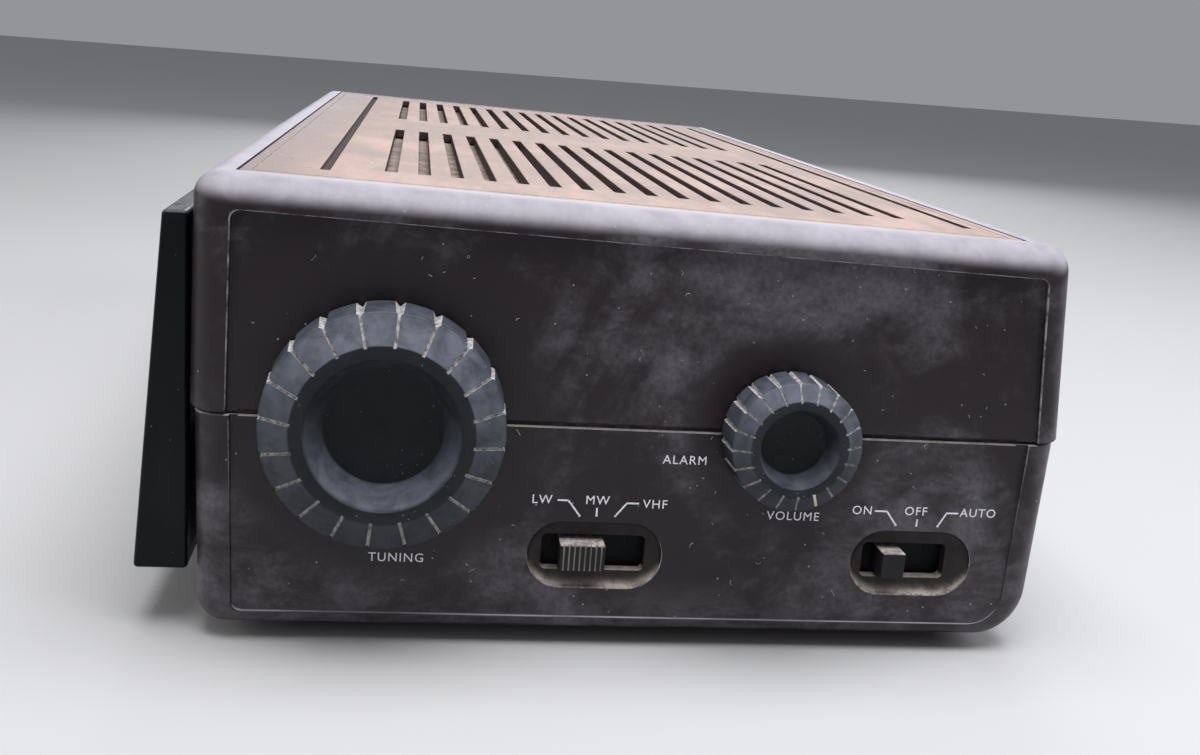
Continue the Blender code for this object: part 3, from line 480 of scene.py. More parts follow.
def object_from(name, bm, origin=None, material=None):
    bmesh.ops.recalc_face_normals(bm, faces=bm.faces)
    mesh = bpy.data.meshes.new(name)
    bm.to_mesh(mesh)
    bm.free()
    mesh.shade_smooth()
    mesh.set_sharp_from_angle(angle=math.radians(32))
    made = linked(name, mesh)
    made.location = DATUM if origin is None else origin
    if material:
        mesh.materials.append(MATERIALS[material])
    return made


def linked(name, data):
    made = bpy.data.objects.new(name, data)
    bpy.context.scene.collection.objects.link(made)
    return made


def evaluated_mesh(piece):
    bpy.context.view_layer.update()
    return bpy.data.meshes.new_from_object(piece.evaluated_get(bpy.context.evaluated_depsgraph_get()))


def meshed(name, curve, material):
    """A curve or a line of text as an object with a plain mesh."""
    source = linked(name, curve)
    mesh = evaluated_mesh(source)
    bpy.data.objects.remove(source, do_unlink=True)
    mesh.materials.clear()
    mesh.materials.append(MATERIALS[material])
    return linked(name, mesh)


def blocks(name, boxes, origin=None, material=None):
    """Boxes in one mesh, each given by two corners in millimetres from the origin."""
    bm = bmesh.new()
    for low, high in boxes:
        low, high = Vector(low) * MM, Vector(high) * MM
        size = Matrix.Diagonal((*(high - low), 1.0))
        bmesh.ops.create_cube(bm, size=1.0, matrix=Matrix.Translation((low + high) / 2) @ size)
    return object_from(name, bm, origin, material)


def rod(name, radius, start, end, segments=48):
    first, last = at(*start), at(*end)
    along = last - first
    turn = Vector((0, 0, 1)).rotation_difference(along).to_matrix().to_4x4()
    bm = bmesh.new()
    bmesh.ops.create_cone(bm, cap_ends=True, segments=segments, radius1=radius * MM, radius2=radius * MM,
                          depth=along.length, matrix=turn @ Matrix.Translation((0, 0, along.length / 2)))
    return object_from(name, bm, first)


def turned(name, profile, origin, axis, steps, material=None):
    """A solid of revolution from (radius, height) points, from its top down to its foot."""
    bm = bmesh.new()
    points = [bm.verts.new((radius * MM, 0, height * MM)) for radius, height in profile]
    for first, second in zip(points, points[1:]):
        bm.edges.new((first, second))
    bmesh.ops.spin(bm, geom=bm.verts[:] + bm.edges[:], cent=(0, 0, 0), axis=(0, 0, 1), steps=steps,
                   angle=2 * math.pi, use_merge=True)
    bmesh.ops.remove_doubles(bm, verts=bm.verts, dist=0.000002)
    if axis == "X":
        bmesh.ops.rotate(bm, verts=bm.verts, matrix=Matrix.Rotation(math.pi / 2, 3, "Y"))
    return object_from(name, bm, at(*origin), material)


def lofted(name, sections, material, caps=(True, True)):
    """A body through rings of points in millimetres from the datum."""
    bm = bmesh.new()
    rings = [[bm.verts.new(Vector(point) * MM) for point in ring] for ring in sections]
    for near, far in zip(rings, rings[1:]):
        for k, vertex in enumerate(near):
            after = (k + 1) % len(near)
            bm.faces.new((vertex, near[after], far[after], far[k]))
    for wanted, ring in zip(caps, (rings[0], rings[-1])):
        if wanted:
            bm.faces.new(ring)
    return object_from(name, bm, material=material)


def combine(target, operation, *tools):
    """Apply Booleans with other bodies, keeping the tools' materials on the faces they leave."""
    for tool in tools:
        boolean = target.modifiers.new("boolean", "BOOLEAN")
        boolean.operation = operation
        boolean.solver = "EXACT"
        boolean.material_mode = "TRANSFER"
        boolean.object = tool
    apply_modifiers(target)
    for tool in tools:
        bpy.data.objects.remove(tool, do_unlink=True)
    return target


def cut(target, *tools):
    return combine(target, "DIFFERENCE", *tools)


def join(target, *tools):
    return combine(target, "UNION", *tools)


def apply_modifiers(piece):
    mesh = evaluated_mesh(piece)
    piece.modifiers.clear()
    piece.data = mesh
    return piece


def bevelled(piece, width, segments=3, limit=35):
    bevel = piece.modifiers.new("edges", "BEVEL")
    bevel.width = width * MM
    bevel.segments = segments
    bevel.limit_method = "ANGLE"
    bevel.angle_limit = math.radians(limit)
    bevel.harden_normals = False
    return apply_modifiers(piece)


def polished(piece, sharp=35):
    """Smooth shading that keeps large flat faces flat."""
    piece.data.shade_smooth()
    piece.data.set_sharp_from_angle(angle=math.radians(sharp))
    normals = piece.modifiers.new("normals", "WEIGHTED_NORMAL")
    normals.keep_sharp = True
    normals.weight = 80
    return piece


def guide(origin, lean):
    return Matrix.Translation(at(*origin)) @ Matrix.Rotation(lean, 4, "X")


TOP_PLANE = guide((CENTRE, 0, TOP_RISE), -math.atan(TOP_SLOPE))
FRONT_PLANE = guide((CENTRE, *FACE_CENTRE), -FACE_LEAN)


def lay_on(plane, piece, offset=(0, 0, 0)):
    piece.matrix_world = plane @ shifted(*offset)
    return piece


def mount(piece, body, slot, *nodes):
    """A finished piece takes its place on a body and stands for the CAD nodes named."""
    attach(piece, body)
    if nodes:
        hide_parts(*nodes)
    return piece


def meet(first, second):
    a, b = first
    c, d = second
    run, rise = b - a, d - c
    return a + run * ((c - a).cross(rise) / run.cross(rise))


def rounded(before, corner, after, radius, steps):
    back, on = (before - corner).normalized(), (after - corner).normalized()
    half = back.angle(on) / 2
    centre = corner + (back + on).normalized() * (radius / math.sin(half))
    start = corner + back * (radius / math.tan(half)) - centre
    end = corner + on * (radius / math.tan(half)) - centre
    turn = math.atan2(start.cross(end), start.dot(end))
    return [centre + Matrix.Rotation(turn * k / steps, 2) @ start for k in range(steps + 1)]


def half_outline(corners, radii, insets, seam, steps, ease=0.0):
    """Half the cabinet's end view, moved inwards, corners rounded, with eased edges at the seam."""
    points = [Vector(corner) for corner in corners]
    middle = sum(points, Vector((0, 0))) / len(points)
    sides = []
    for first, second, inset in zip(points, points[1:], insets):
        along = (second - first).normalized()
        inward = Vector((-along.y, along.x))
        if inward.dot(middle - first) < 0:
            inward.negate()
        sides.append((first + inward * inset, second + inward * inset))
    away = 1 if points[1].y > 0 else -1

    def on_side(side, height):
        return meet(side, (Vector((0, height)), Vector((1, height))))

    front, cap, back = sides
    path = [on_side(front, seam), meet(front, cap), meet(cap, back), on_side(back, seam)]
    outline = [path[0]]
    if ease:
        outline = [path[0] + Vector((ease, 0)), on_side(front, seam + away * ease)]
    for k, radius in enumerate(radii):
        inset = max(insets[k], insets[k + 1])
        outline += rounded(path[k], path[k + 1], path[k + 2], max(radius - inset * 0.6, 1.6), steps)
    if ease:
        return outline + [on_side(back, seam + away * ease), path[3] - Vector((ease, 0))]
    return outline + [path[3]]


def rounded_rectangle(low, high, radius, steps=10):
    (y0, z0), (y1, z1) = low, high
    corners = [Vector(corner) for corner in ((y0, z0), (y1, z0), (y1, z1), (y0, z1))]
    outline = []
    for k, corner in enumerate(corners):
        outline += rounded(corners[k - 1], corner, corners[(k + 1) % 4], radius, steps)
    return outline


def section(x, outline):
    return [(x, point.x, point.y) for point in outline]


# ---- cabinet

def recess_depth(y, z):
    """The end panel is sunk behind its rim, deepest at the top front and almost flush at the bottom."""
    least, more_at_top, more_in_front = 0.3, 1.2, 0.3
    return least + more_at_top * (z + 33.0) / 66.0 + more_in_front * (112.0 - y) / 138.0


def panel_cutter(name, corners, radii, inset, past_seam, end, side):
    """What sinks the end panel: a flat floor, a small fillet, the step, and the rim's eased inner edge."""
    sections = []
    for share, lift, extra in ((1.0, 0.0, 0.3), (0.94, 0.0, 0.1), (0.75, 0.0, 0.0), (0.3, 0.0, 0.0),
                               (0.08, 0.0, -0.07), (0.0, 0.02, -0.22), (0.0, 2.0, -0.22)):
        outline = half_outline(corners, radii, [value + extra for value in inset], past_seam, 10)
        sections.append([(end + side * (lift - share * recess_depth(p.x, p.y)), p.x, p.y) for p in outline])
    cutter = lofted(name, sections, "cabinet")
    # The step's band carries dust and a painted highlight.
    cutter.data.materials.append(MATERIALS["step_dust_and_highlight"])
    band = len(sections[0])
    for polygon in cutter.data.polygons[3 * band:5 * band]:
        polygon.material_index = 1
    return cutter


def seam_edge(end, side, seam):
    """Takes the sharp edge off the end panel along the parting line."""
    sections = []
    for y in (-24.0, 112.0):
        x = end - side * recess_depth(y, seam)
        sections.append([(x - 0.28, y, seam), (x, y, seam + 0.28), (x + 0.28, y, seam), (x, y, seam - 0.28)])
    # The lower half's edge carries dust and a painted highlight.
    return lofted("seam_edge", sections, "seam_dust_and_highlight" if seam < 0 else "cabinet")


def cabinet_half(name, corners, radii, inset, cap_wall, seam):
    flat, depth, steps = 0.92, 5.5, 12
    rings = []
    for end, side in ((0.0, 1), (-LENGTH, -1)):
        stations = []
        for k in range(steps + 1):
            angle = math.pi / 2 * k / steps
            insets = [value * flat * (1 - math.sin(angle)) for value in inset]
            outline = half_outline(corners, radii, insets, seam, 10, 0.25)
            stations.append(section(end - side * depth * (1 - math.cos(angle)), outline))
        rings += stations if side > 0 else stations[::-1]
    body = lofted(name, rings, "cabinet")
    past_seam = -2.0 if seam > 0 else 2.0
    hollow = half_outline(corners, radii, (WALL, cap_wall, WALL), past_seam, 4)
    cut(body, lofted(name + "_hollow", [section(-END_WALL, hollow), section(END_WALL - LENGTH, hollow)],
                     "cabinet"))
    for end, side in ((0.0, 1), (-LENGTH, -1)):
        cut(body, panel_cutter("panel", corners, radii, inset, past_seam, end, side))
        cut(body, seam_edge(end, side, seam))
    return body


def switch_window(name, rim, throat):
    """A dished recess with an eased edge that narrows to the opening of a slide switch."""
    low, high, foot, head = -29.2, -17.3, -26.5, -19.9
    corner, throat_corner, eased, bowl, steps = 5.9, 1.0, 0.35, 0.9, 8
    top = -recess_depth(sum(rim) / 2, foot)

    def stadium(x, grown):
        return section(x, rounded_rectangle((rim[0] - grown, low - grown), (rim[1] + grown, high + grown),
                                            corner + grown))

    sections = [stadium(x, grown) for x, grown in ((0.6, 0.3), (top + 0.02, 0.3), (top - 0.1, 0.1),
                                                   (top - eased, 0.0))]
    for k in range(1, steps + 1):
        angle = math.pi / 2 * k / steps
        share = 1 - math.cos(angle)
        y0, y1 = rim[0] + (throat[0] - rim[0]) * share, rim[1] + (throat[1] - rim[1]) * share
        z0, z1 = low + (foot - low) * share, high + (head - high) * share
        sections.append(section(top - eased - bowl * math.sin(angle), rounded_rectangle(
            (y0, z0), (y1, z1), corner - (corner - throat_corner) * share)))
    sections.append(section(-END_WALL - 2, rounded_rectangle((throat[0], foot), (throat[1], head),
                                                             throat_corner)))
    bowl = lofted(name, sections, "lip")
    bowl.data.materials.append(MATERIALS["ledge_dust"])
    band = len(sections[0])
    for polygon in bowl.data.polygons[band:2 * band]:
        polygon.material_index = 1
    return bowl


def slot_box(low, high):
    return blocks("tool", [(low, high)])


def shaft_holes(grown=0.0):
    return [rod("hole", radius + grown, (-8, y, 0), (3, y, 0)) for y, radius in ((0.0, 4.6), (VOLUME_Y, 4.2))]


def make_upper_shell():
    shell = cabinet_half("upper_cabinet", UPPER_CORNERS, (4.0, 4.5), UPPER_RIM, 5.0, SEAM)
    margin = GRILLE_HALF + 0.3
    # The seat's cut faces take the near-black seam colour: painted shade round the top panel, with grime.
    seat = blocks("seat", [((-margin, GRILLE_FRONT - 0.3, -2.4), (margin, GRILLE_BACK + 0.3, 3.0))],
                  material="seam_shade_and_grime")
    seat = bevelled(seat, 0.25, 2)
    sound = blocks("sound", [((-135.0, -4.0, -9.0), (134.0, 98.5, 3.0))], material="black")
    front = slot_box((-296.0, -36.0, -2.0), (-20.0, -26.0, 26.0))
    cut(shell, lay_on(TOP_PLANE, seat), lay_on(TOP_PLANE, sound), front, *shaft_holes())
    return mount(polished(shell), "cabinet", "cabinet_plastic", "upper_shell")


def make_lower_shell():
    shell = cabinet_half("lower_cabinet", LOWER_CORNERS, (4.5, 9.5), LOWER_RIM, WALL, -SEAM)
    floor = -BASE + WALL
    bosses, tools = [], []
    for k in range(1, 5):
        centre = place_of(f"cabinet_screw_{k}")
        bosses.append(rod("boss", 4.9, (centre.x, centre.y, floor - 1), (centre.x, centre.y, -SEAM)))
        tools.append(rod("well", 3.6, (centre.x, centre.y, -BASE - 1), (centre.x, centre.y, -26), 32))
    join(shell, *bosses)
    tools += [slot_box((-296.0, -36.0, -12.0), (-20.0, -26.0, 2.0)),
              slot_box((-286.0, -36.0, -26.8), (-176.0, -26.0, -15.0))]
    tools += [bevelled(slot_box((-276.0 + 6 * k, 52.0, -BASE - 1), (-273.2 + 6 * k, 92.0, floor + 1)), 0.6, 2)
              for k in range(8)]
    cut(shell, *tools)
    join(shell, blocks("pad", [((-274, 110.5, -33), (-250, 118.6, -6))]))
    gland_x, gland_z = -262, -19
    tools = [rod(name, radius, (gland_x, 125, gland_z), (gland_x, depth, gland_z), segments)
             for name, radius, depth, segments in (("well", 9.5, 116.8, 64), ("bore", 6.0, 105, 48))]
    tools += shaft_holes()
    tools += [switch_window("band_window", (25.5, 49.1), (27.9, 46.3)),
              switch_window("auto_window", (83.9, 106.2), (86.2, 101.9))]
    cut(shell, *tools)
    return mount(polished(shell), "cabinet", "cabinet_plastic", "lower_shell")


def make_seam():
    """A closed dark band between the halves, just behind the gap: painted shade in the parting gap, with
    grime.
    """
    def loop(inset, low, high):
        rings = []
        for z in (low, high):
            front, back = LOWER_CORNERS[0][0] + inset, LOWER_CORNERS[3][0] - inset
            ring = rounded_rectangle((inset - LENGTH, front), (-inset, back), 5.0, 8)
            rings.append([(p.x, p.y, z) for p in ring])
        return rings

    outer, inner = loop(1.6, -0.6, 0.7), loop(2.2, 0.7, -0.6)
    band = lofted("seam_shade_and_grime_band", outer + inner + outer[:1], "seam_shade_and_grime", (False, False))
    front = slot_box((-300.0, -34.0, -2.0), (-16.0, -26.0, 2.0))
    cut(band, front, *shaft_holes(0.2))
    return mount(band, "cabinet", "cabinet_plastic")


def slotted_outline():
    """Low and high corners and corner radius of the top panel, then of each slot, on the top plane."""
    slots, pitch, half_width = 17, 6.0, 1.1
    yield (-GRILLE_HALF, GRILLE_FRONT), (GRILLE_HALF, GRILLE_BACK), 1.6
    for start, end in ((-290.0, -182.0), (-138.0, -27.5)):
        for k in range(slots):
            y = k * pitch - 1.0
            yield (start - CENTRE, y - half_width), (end - CENTRE, y + half_width), 0.5


def make_grille():
    curve = bpy.data.curves.new("grille", "CURVE")
    curve.dimensions = "2D"
    curve.fill_mode = "BOTH"
    edge = 0.22
    curve.bevel_depth = edge * MM
    curve.bevel_resolution = 2
    curve.offset = -edge * MM
    curve.extrude = (2.05 / 2 - edge) * MM
    for low, high, radius in slotted_outline():
        outline = rounded_rectangle(low, high, radius, 4)
        spline = curve.splines.new("POLY")
        spline.points.add(len(outline) - 1)
        spline.use_cyclic_u = True
        for point, place in zip(spline.points, outline):
            point.co = (place.x * MM, place.y * MM, 0, 1)
    panel = meshed("slotted_top", curve, "grille")
    bm = bmesh.new()
    bm.from_mesh(panel.data)
    bmesh.ops.remove_doubles(bm, verts=bm.verts, dist=0.000005)
    bmesh.ops.translate(bm, verts=bm.verts, vec=(0, 0, -1.075 * MM))
    bmesh.ops.recalc_face_normals(bm, faces=bm.faces)
    bm.to_mesh(panel.data)
    bm.free()
    lay_on(TOP_PLANE, panel)
    # The grooves' walls take the near-black seam colour: painted shade in them, with grime.
    grooves = blocks("grooves", [((-137.5, y - 0.9, -0.95), (137.5, y + 0.9, 1.0)) for y in (-12.2, 105.6)],
                     material="seam_shade_and_grime")
    border, width, gap = 2.0, 0.35, 2.6
    side, front, back = GRILLE_HALF - border, GRILLE_FRONT + border, GRILLE_BACK - border
    near, far = GRILLE_FRONT + gap, GRILLE_BACK - gap
    lines = blocks("lines", [((-side, front, -0.2), (side, front + width, 1.0)),
                             ((-side, back - width, -0.2), (side, back, 1.0)),
                             ((-side, near, -0.2), (width - side, far, 1.0)),
                             ((side - width, near, -0.2), (side, far, 1.0))], material="ledge_dust")
    cut(panel, lay_on(TOP_PLANE, bevelled(grooves, 0.4, 2)), lay_on(TOP_PLANE, lines))
    return mount(polished(panel), "cabinet", "grille_plastic", "top_grille")


def make_cloth():
    """Dark woven cloth stretched under the slots."""
    cloth = lay_on(TOP_PLANE, blocks("sound_cloth", [((-134.6, -3.6, -2.75), (133.6, 98.1, -2.45))],
                                     material="cloth"))
    return mount(cloth, "cabinet", "grille_plastic")


# ---- front

def make_bezel():
    low_x, high_x = 5.0 - LENGTH, -5.0
    back = UPPER_CORNERS[0][0] - GAP
    shape = [Vector(p) for p in (FACE_FOOT, (back, FACE_FOOT[1]), (back - 0.1, FACE_TOP[1]), FACE_TOP)]
    bezel = lofted("wedge_front", [section(low_x, shape), section(high_x, shape)], "bezel")
    bevelled(bezel, 0.8, 4)
    sill = 2.0
    boxes = [((-WINDOW_HALF - GAP, -1, WINDOW_LOW - GAP), (WINDOW_HALF + GAP, 1.9, WINDOW_HIGH + GAP)),
             ((sill - WINDOW_HALF, -1, WINDOW_LOW + sill), (WINDOW_HALF - sill, 30, WINDOW_HIGH - sill)),
             ((-150.0, 2.6, -27.5), (150.0, 25, 28.0))]
    reach = BUTTON_HALF + GAP
    for node, *_ in BUTTONS:
        low, high = span_of(node)
        boxes.append(((low.x - CENTRE - GAP, -2, BUTTON_RISE - reach),
                      (high.x - CENTRE + GAP, 6, BUTTON_RISE + reach)))
    cut(bezel, *[lay_on(FRONT_PLANE, blocks("tool", [box], material="bezel")) for box in boxes])
    return mount(polished(bevelled(bezel, 0.12, 2, 60)), "cabinet", "bezel_plastic", "front_bezel")


def make_window():
    """The smoked pane, flush in the wedge."""
    box = ((-WINDOW_HALF, 0.1, WINDOW_LOW), (WINDOW_HALF, 1.6, WINDOW_HIGH))
    pane = bevelled(blocks("smoked_window", [box], material="window"), 0.25)
    return mount(polished(lay_on(FRONT_PLANE, pane)), "cabinet", "window_plastic", "display_window")


def make_mask():
    """A black card behind the window with openings for the clock and the tuning scale."""
    card = ((-143.6, 1.7, -9.7), (143.6, 2.0, 22.7))
    mask = lay_on(FRONT_PLANE, blocks("window_mask", [card], material="scale"))
    tools = []
    for node, overlap, foot, head in (("clock_display", 4.0, -7.5, 19.0), ("dial_scale", 1.0, -8.5, 21.5)):
        low, high = span_of(node)
        box = ((low.x - CENTRE + overlap, 0, foot), (high.x - CENTRE - overlap, 4, head))
        tools.append(lay_on(FRONT_PLANE, bevelled(blocks("tool", [box], material="scale"), 0.8, 3)))
    cut(mask, *tools)
    return mount(polished(mask), "cabinet", "module_plastic")


def make_buttons():
    """Push buttons: a cap with a shallow dish in its face, on a stem that reaches the contact strip."""
    for node, body, *_ in BUTTONS:
        low, high = span_of(node)
        half = (high.x - low.x) / 2
        place = ((low.x + high.x) / 2 - CENTRE, 0, BUTTON_RISE)
        boxes = (((-half, -0.6, -BUTTON_HALF), (half, 5.0, BUTTON_HALF)),
                 ((1.4 - half, -2.0, -1.6), (half - 1.4, -0.35, 1.6)), ((-2.0, 4.0, -1.5), (2.0, 12.4, 1.5)))
        cap, dish, stem = (lay_on(FRONT_PLANE, blocks(name, [box], material=finish), place)
                           for name, box, finish in zip((body + "_cap", "dish", "stem"), boxes,
                                                        ("button", "button", None)))
        bevelled(cap, 0.4, 4)
        cut(join(cap, stem), bevelled(dish, 0.2, 2))
        mount(polished(cap), body, "button_plastic", node)


SEGMENTS = {"a": (0, 1, True), "b": (0.5, 0.5, False), "c": (0.5, -0.5, False), "d": (0, -1, True),
            "e": (-0.5, -0.5, False), "f": (-0.5, 0.5, False), "g": (0, 0, True)}
DIGITS = {"1": "bc", "2": "abged", "0": "abcdef", "5": "afgcd"}


def make_display():
    """A four-figure seven-segment module with its colon, standing behind the window."""
    span, centre = span_of("clock_display"), place_of("clock_display")
    module = bevelled(blocks("clock_module", [span], material="scale"), 0.6, 3)
    mount(polished(module), "cabinet", "module_plastic", "clock_display")
    width, height, bar = 8.6, 15.6, 1.5
    front = span[0].y
    lit, dark = bmesh.new(), bmesh.new()
    for place, figure in zip((-30.0, -14.0, 8.0, 24.0), "1205"):
        for key, (across, up, level) in SEGMENTS.items():
            bm = lit if key in DIGITS[figure] else dark
            long, short = (width - bar * 1.1 if level else height / 2 - bar * 1.1) / 2, bar / 2
            x = centre.x + place + across * width + up * 0.7
            z = centre.z + up * height / 2
            outline = [(long, 0), (long - short, short), (short - long, short), (-long, 0),
                       (short - long, -short), (long - short, -short)]
            points = [(u, v) if level else (v + u * 0.09, u) for u, v in outline]
            faces = [[bm.verts.new(Vector((x + u, front - depth, z + v)) * MM) for u, v in points]
                     for depth in (0.05, 0.35)]
            bm.faces.new(faces[0])
            bm.faces.new(faces[1])
            for k in range(6):
                bm.faces.new((faces[0][k], faces[0][k - 1], faces[1][k - 1], faces[1][k]))
    for z in (-4.0, 4.0):
        spot = shifted(centre.x - 3.0, front - 0.2, centre.z + z)
        bmesh.ops.create_cube(lit, size=1.6 * MM, matrix=spot @ Matrix.Diagonal((1, 0.2, 1, 1)))
    for name, bm, material in (("lit_segments", lit, "segment"), ("dark_segments", dark, "segment_off")):
        mount(object_from(name, bm, material=material), "cabinet", "module_plastic")


def label(name, words, place, size, frame_of, material="lettering", slot="cabinet_plastic", spacing=1.15):
    """Raised print: a text outline turned to a thin mesh on a surface frame."""
    curve = bpy.data.curves.new(name, "FONT")
    curve.body = words
    curve.align_x = "CENTER"
    curve.align_y = "CENTER"
    curve.space_character = spacing
    curve.extrude = 0.006
    curve.resolution_u = 5
    made = meshed(name, curve, material)
    made.data.transform(Matrix.Scale(size * MM, 4))
    made.matrix_world = frame_of(*place)
    return mount(made, "cabinet", slot)


def end_surface(y, z, lift=0.02):
    """A frame on the sunk end panel: its x axis runs towards the back, its y axis up."""
    depth = recess_depth(y, z)
    slope_y = (recess_depth(y + 1, z) - depth)
    slope_z = (recess_depth(y, z + 1) - depth)
    across = Vector((-slope_y, 1, 0)).normalized()
    normal = Vector((1, slope_y, slope_z)).normalized()
    up = normal.cross(across)
    turn = Matrix((across, up, normal)).transposed().to_4x4()
    return Matrix.Translation(at(lift - depth, y, z)) @ turn


def front_surface(y):
    """A frame on an upright plane at y that faces the front: its x axis runs towards the controls."""
    def place(x, z):
        turn = Matrix(((1, 0, 0), (0, 0, -1), (0, 1, 0))).to_4x4()
        return Matrix.Translation(at(x, y, z)) @ turn
    return place


def stroke(name, lines, width, frame_of, material="lettering", dots=(), slot="cabinet_plastic"):
    """Printed lines as thin ribbons through points on a surface frame, with round ends."""
    bm = bmesh.new()

    def corner(point, shift):
        return bm.verts.new(frame_of(point[0] + shift[0], point[1] + shift[1]).translation)

    for line in lines:
        for first, second in zip(line, line[1:]):
            along = (Vector(second) - Vector(first)).normalized() * (width / 2)
            side = Vector((-along.y, along.x))
            ends = ((first, side), (first, -side), (second, -side), (second, side))
            bm.faces.new([corner(point, shift) for point, shift in ends])
    for centre, radius in dots:
        ring = [corner(centre, (radius * math.cos(math.pi * k / 8), radius * math.sin(math.pi * k / 8)))
                for k in range(16)]
        bm.faces.new(ring)
    return mount(object_from(name, bm, origin=(0, 0, 0), material=material), "cabinet", slot)


def make_labels():
    """Function lettering of the control end, with leader lines to the switch positions."""
    for name, words, y, z in (("label_tuning", "TUNING", 2.9, -24.7), ("label_alarm", "ALARM", 51.9, -5.5),
                              ("label_volume", "VOLUME", 72.3, -15.1), ("label_lw", "LW", 27.4, -13.4),
                              ("label_mw", "MW", 37.1, -13.3), ("label_vhf", "VHF", 47.3, -13.7),
                              ("label_on", "ON", 84.9, -13.6), ("label_off", "OFF", 94.9, -13.5),
                              ("label_auto", "AUTO", 106.6, -13.5)):
        label(name, words, (y, z), 2.25, end_surface)
    leads = [[(30.1, -13.4), (32.0, -13.4), (34.1, -16.1)], [(37.1, -14.6), (37.1, -16.0)],
             [(44.4, -13.6), (42.3, -13.6), (40.4, -16.0)], [(87.2, -13.6), (89.5, -13.6), (91.4, -16.1)],
             [(95.3, -14.9), (95.3, -16.1)], [(102.9, -13.6), (100.7, -13.6), (99.3, -16.1)]]
    dots = [(lead[-1], 0.22) for lead in leads] + [(lead[1], 0.14) for lead in leads if len(lead) == 3]
    stroke("leader_lines", leads, 0.3, lambda y, z: end_surface(y, z, 0.03), dots=dots)


def make_button_labels():
    """The buttons' functions, printed above them."""
    def face_surface(x, rise):
        turn = Matrix.Rotation(math.pi / 2, 4, "X")
        return FRONT_PLANE @ shifted(x - CENTRE, -0.02, rise) @ turn

    for _, _, name, words, x in BUTTONS:
        label(name, words, (x, -16.2), 1.9, face_surface, slot="bezel_plastic")


def make_dial():
    """A black scale with three rows of marks and figures, behind the smoked window."""
    plate = span_of("dial_scale")
    scale = bevelled(blocks("scale_plate", [plate], material="scale"), 0.2, 2)
    mount(polished(scale), "cabinet", "scale_print", "dial_scale")
    surface = front_surface(plate[0].y - 0.03)
    print_on_scale = ("scale_print", "scale_print", 1.05)
    middle, reach = -88.0, 35.0
    rows = ((13.5, "88 92 96 100 104 108".split(), "VHF"), (3.5, "55 65 80 100 130 160".split(), "MW"),
            (-6.0, "150 180 210 240 270 300".split(), "LW"))
    marks = []
    for row, (z, figures, band) in enumerate(rows):
        for k, figure in enumerate(figures):
            x = middle - reach + 2 * reach * k / (len(figures) - 1)
            label(f"scale_{row}_{k}", figure, (x, z + 2.2), 2.9, surface, *print_on_scale)
            marks.append([(x, z - 2.2), (x, z - 0.4)])
        for k in range(26):
            x = middle - reach + 2 * reach * k / 25
            marks.append([(x, z - 2.2), (x, z - 1.3)])
        marks.append([(middle - reach, z - 2.2), (middle + reach, z - 2.2)])
        label(f"scale_band_{row}", band, (middle + reach + 8.5, z), 3.2, surface, *print_on_scale)
    stroke("scale_marks", marks, 0.22, surface, "scale_print", slot="scale_print")


# ---- knobs

def soften(profile, radius):
    """Round the inner corners of a profile, leaving its ends."""
    points = [Vector(p) for p in profile]
    soft = [points[0]]
    for before, corner, after in zip(points, points[1:], points[2:]):
        reach = min((before - corner).length, (after - corner).length) * 0.45
        half = (before - corner).angle(after - corner) / 2
        soft += rounded(before, corner, after, min(radius, reach * math.tan(half)), 4)
    return [tuple(p) for p in soft + [points[-1]]]


def ring_of_blocks(name, count, phase, place, size, material):
    bm = bmesh.new()
    block = place @ Matrix.Diagonal((*(Vector(size) * MM), 1.0))
    for k in range(count):
        spin = Matrix.Rotation(phase + 2 * math.pi * k / count, 4, "X")
        bmesh.ops.create_cube(bm, size=1.0, matrix=spin @ block)
    return object_from(name, bm, material=material)


def make_knob(name, body, node, y, profile, chamfer, phase, flute, slit, zones):
    """A turned knob with a finger cup, fluted sides and dusty slits along its chamfer."""
    knob = turned(name, soften(profile, 0.35), (0, y, 0), "X", 240)
    knob.data.materials.append(knob_material(name, zones))
    inner, outer = (Vector(p) for p in chamfer)
    middle = (inner + outer) / 2
    lean = math.atan2(inner.y - outer.y, outer.x - inner.x)
    flute_place = shifted(0, 0, outer.x + 0.25) @ Matrix.Rotation(math.pi / 4, 4, "X")
    slit_place = shifted(middle.y, 0, middle.x) @ Matrix.Rotation(-lean, 4, "Y")
    length = (outer - inner).length
    flutes = ring_of_blocks("flutes", 20, phase, flute_place, (40, flute, flute), "groove_dust")
    slits = ring_of_blocks("slits", 20, phase, slit_place, (slit * 1.3, slit, length + 0.5), "groove_dust")
    for tool in (flutes, slits):
        tool.location = knob.location
    bore = rod("bore", 3.3, (-3.0, y, 0), (2.0, y, 0))
    cut(knob, flutes, slits, bore)
    return mount(polished(knob, 28), body, "knob_plastic", node)


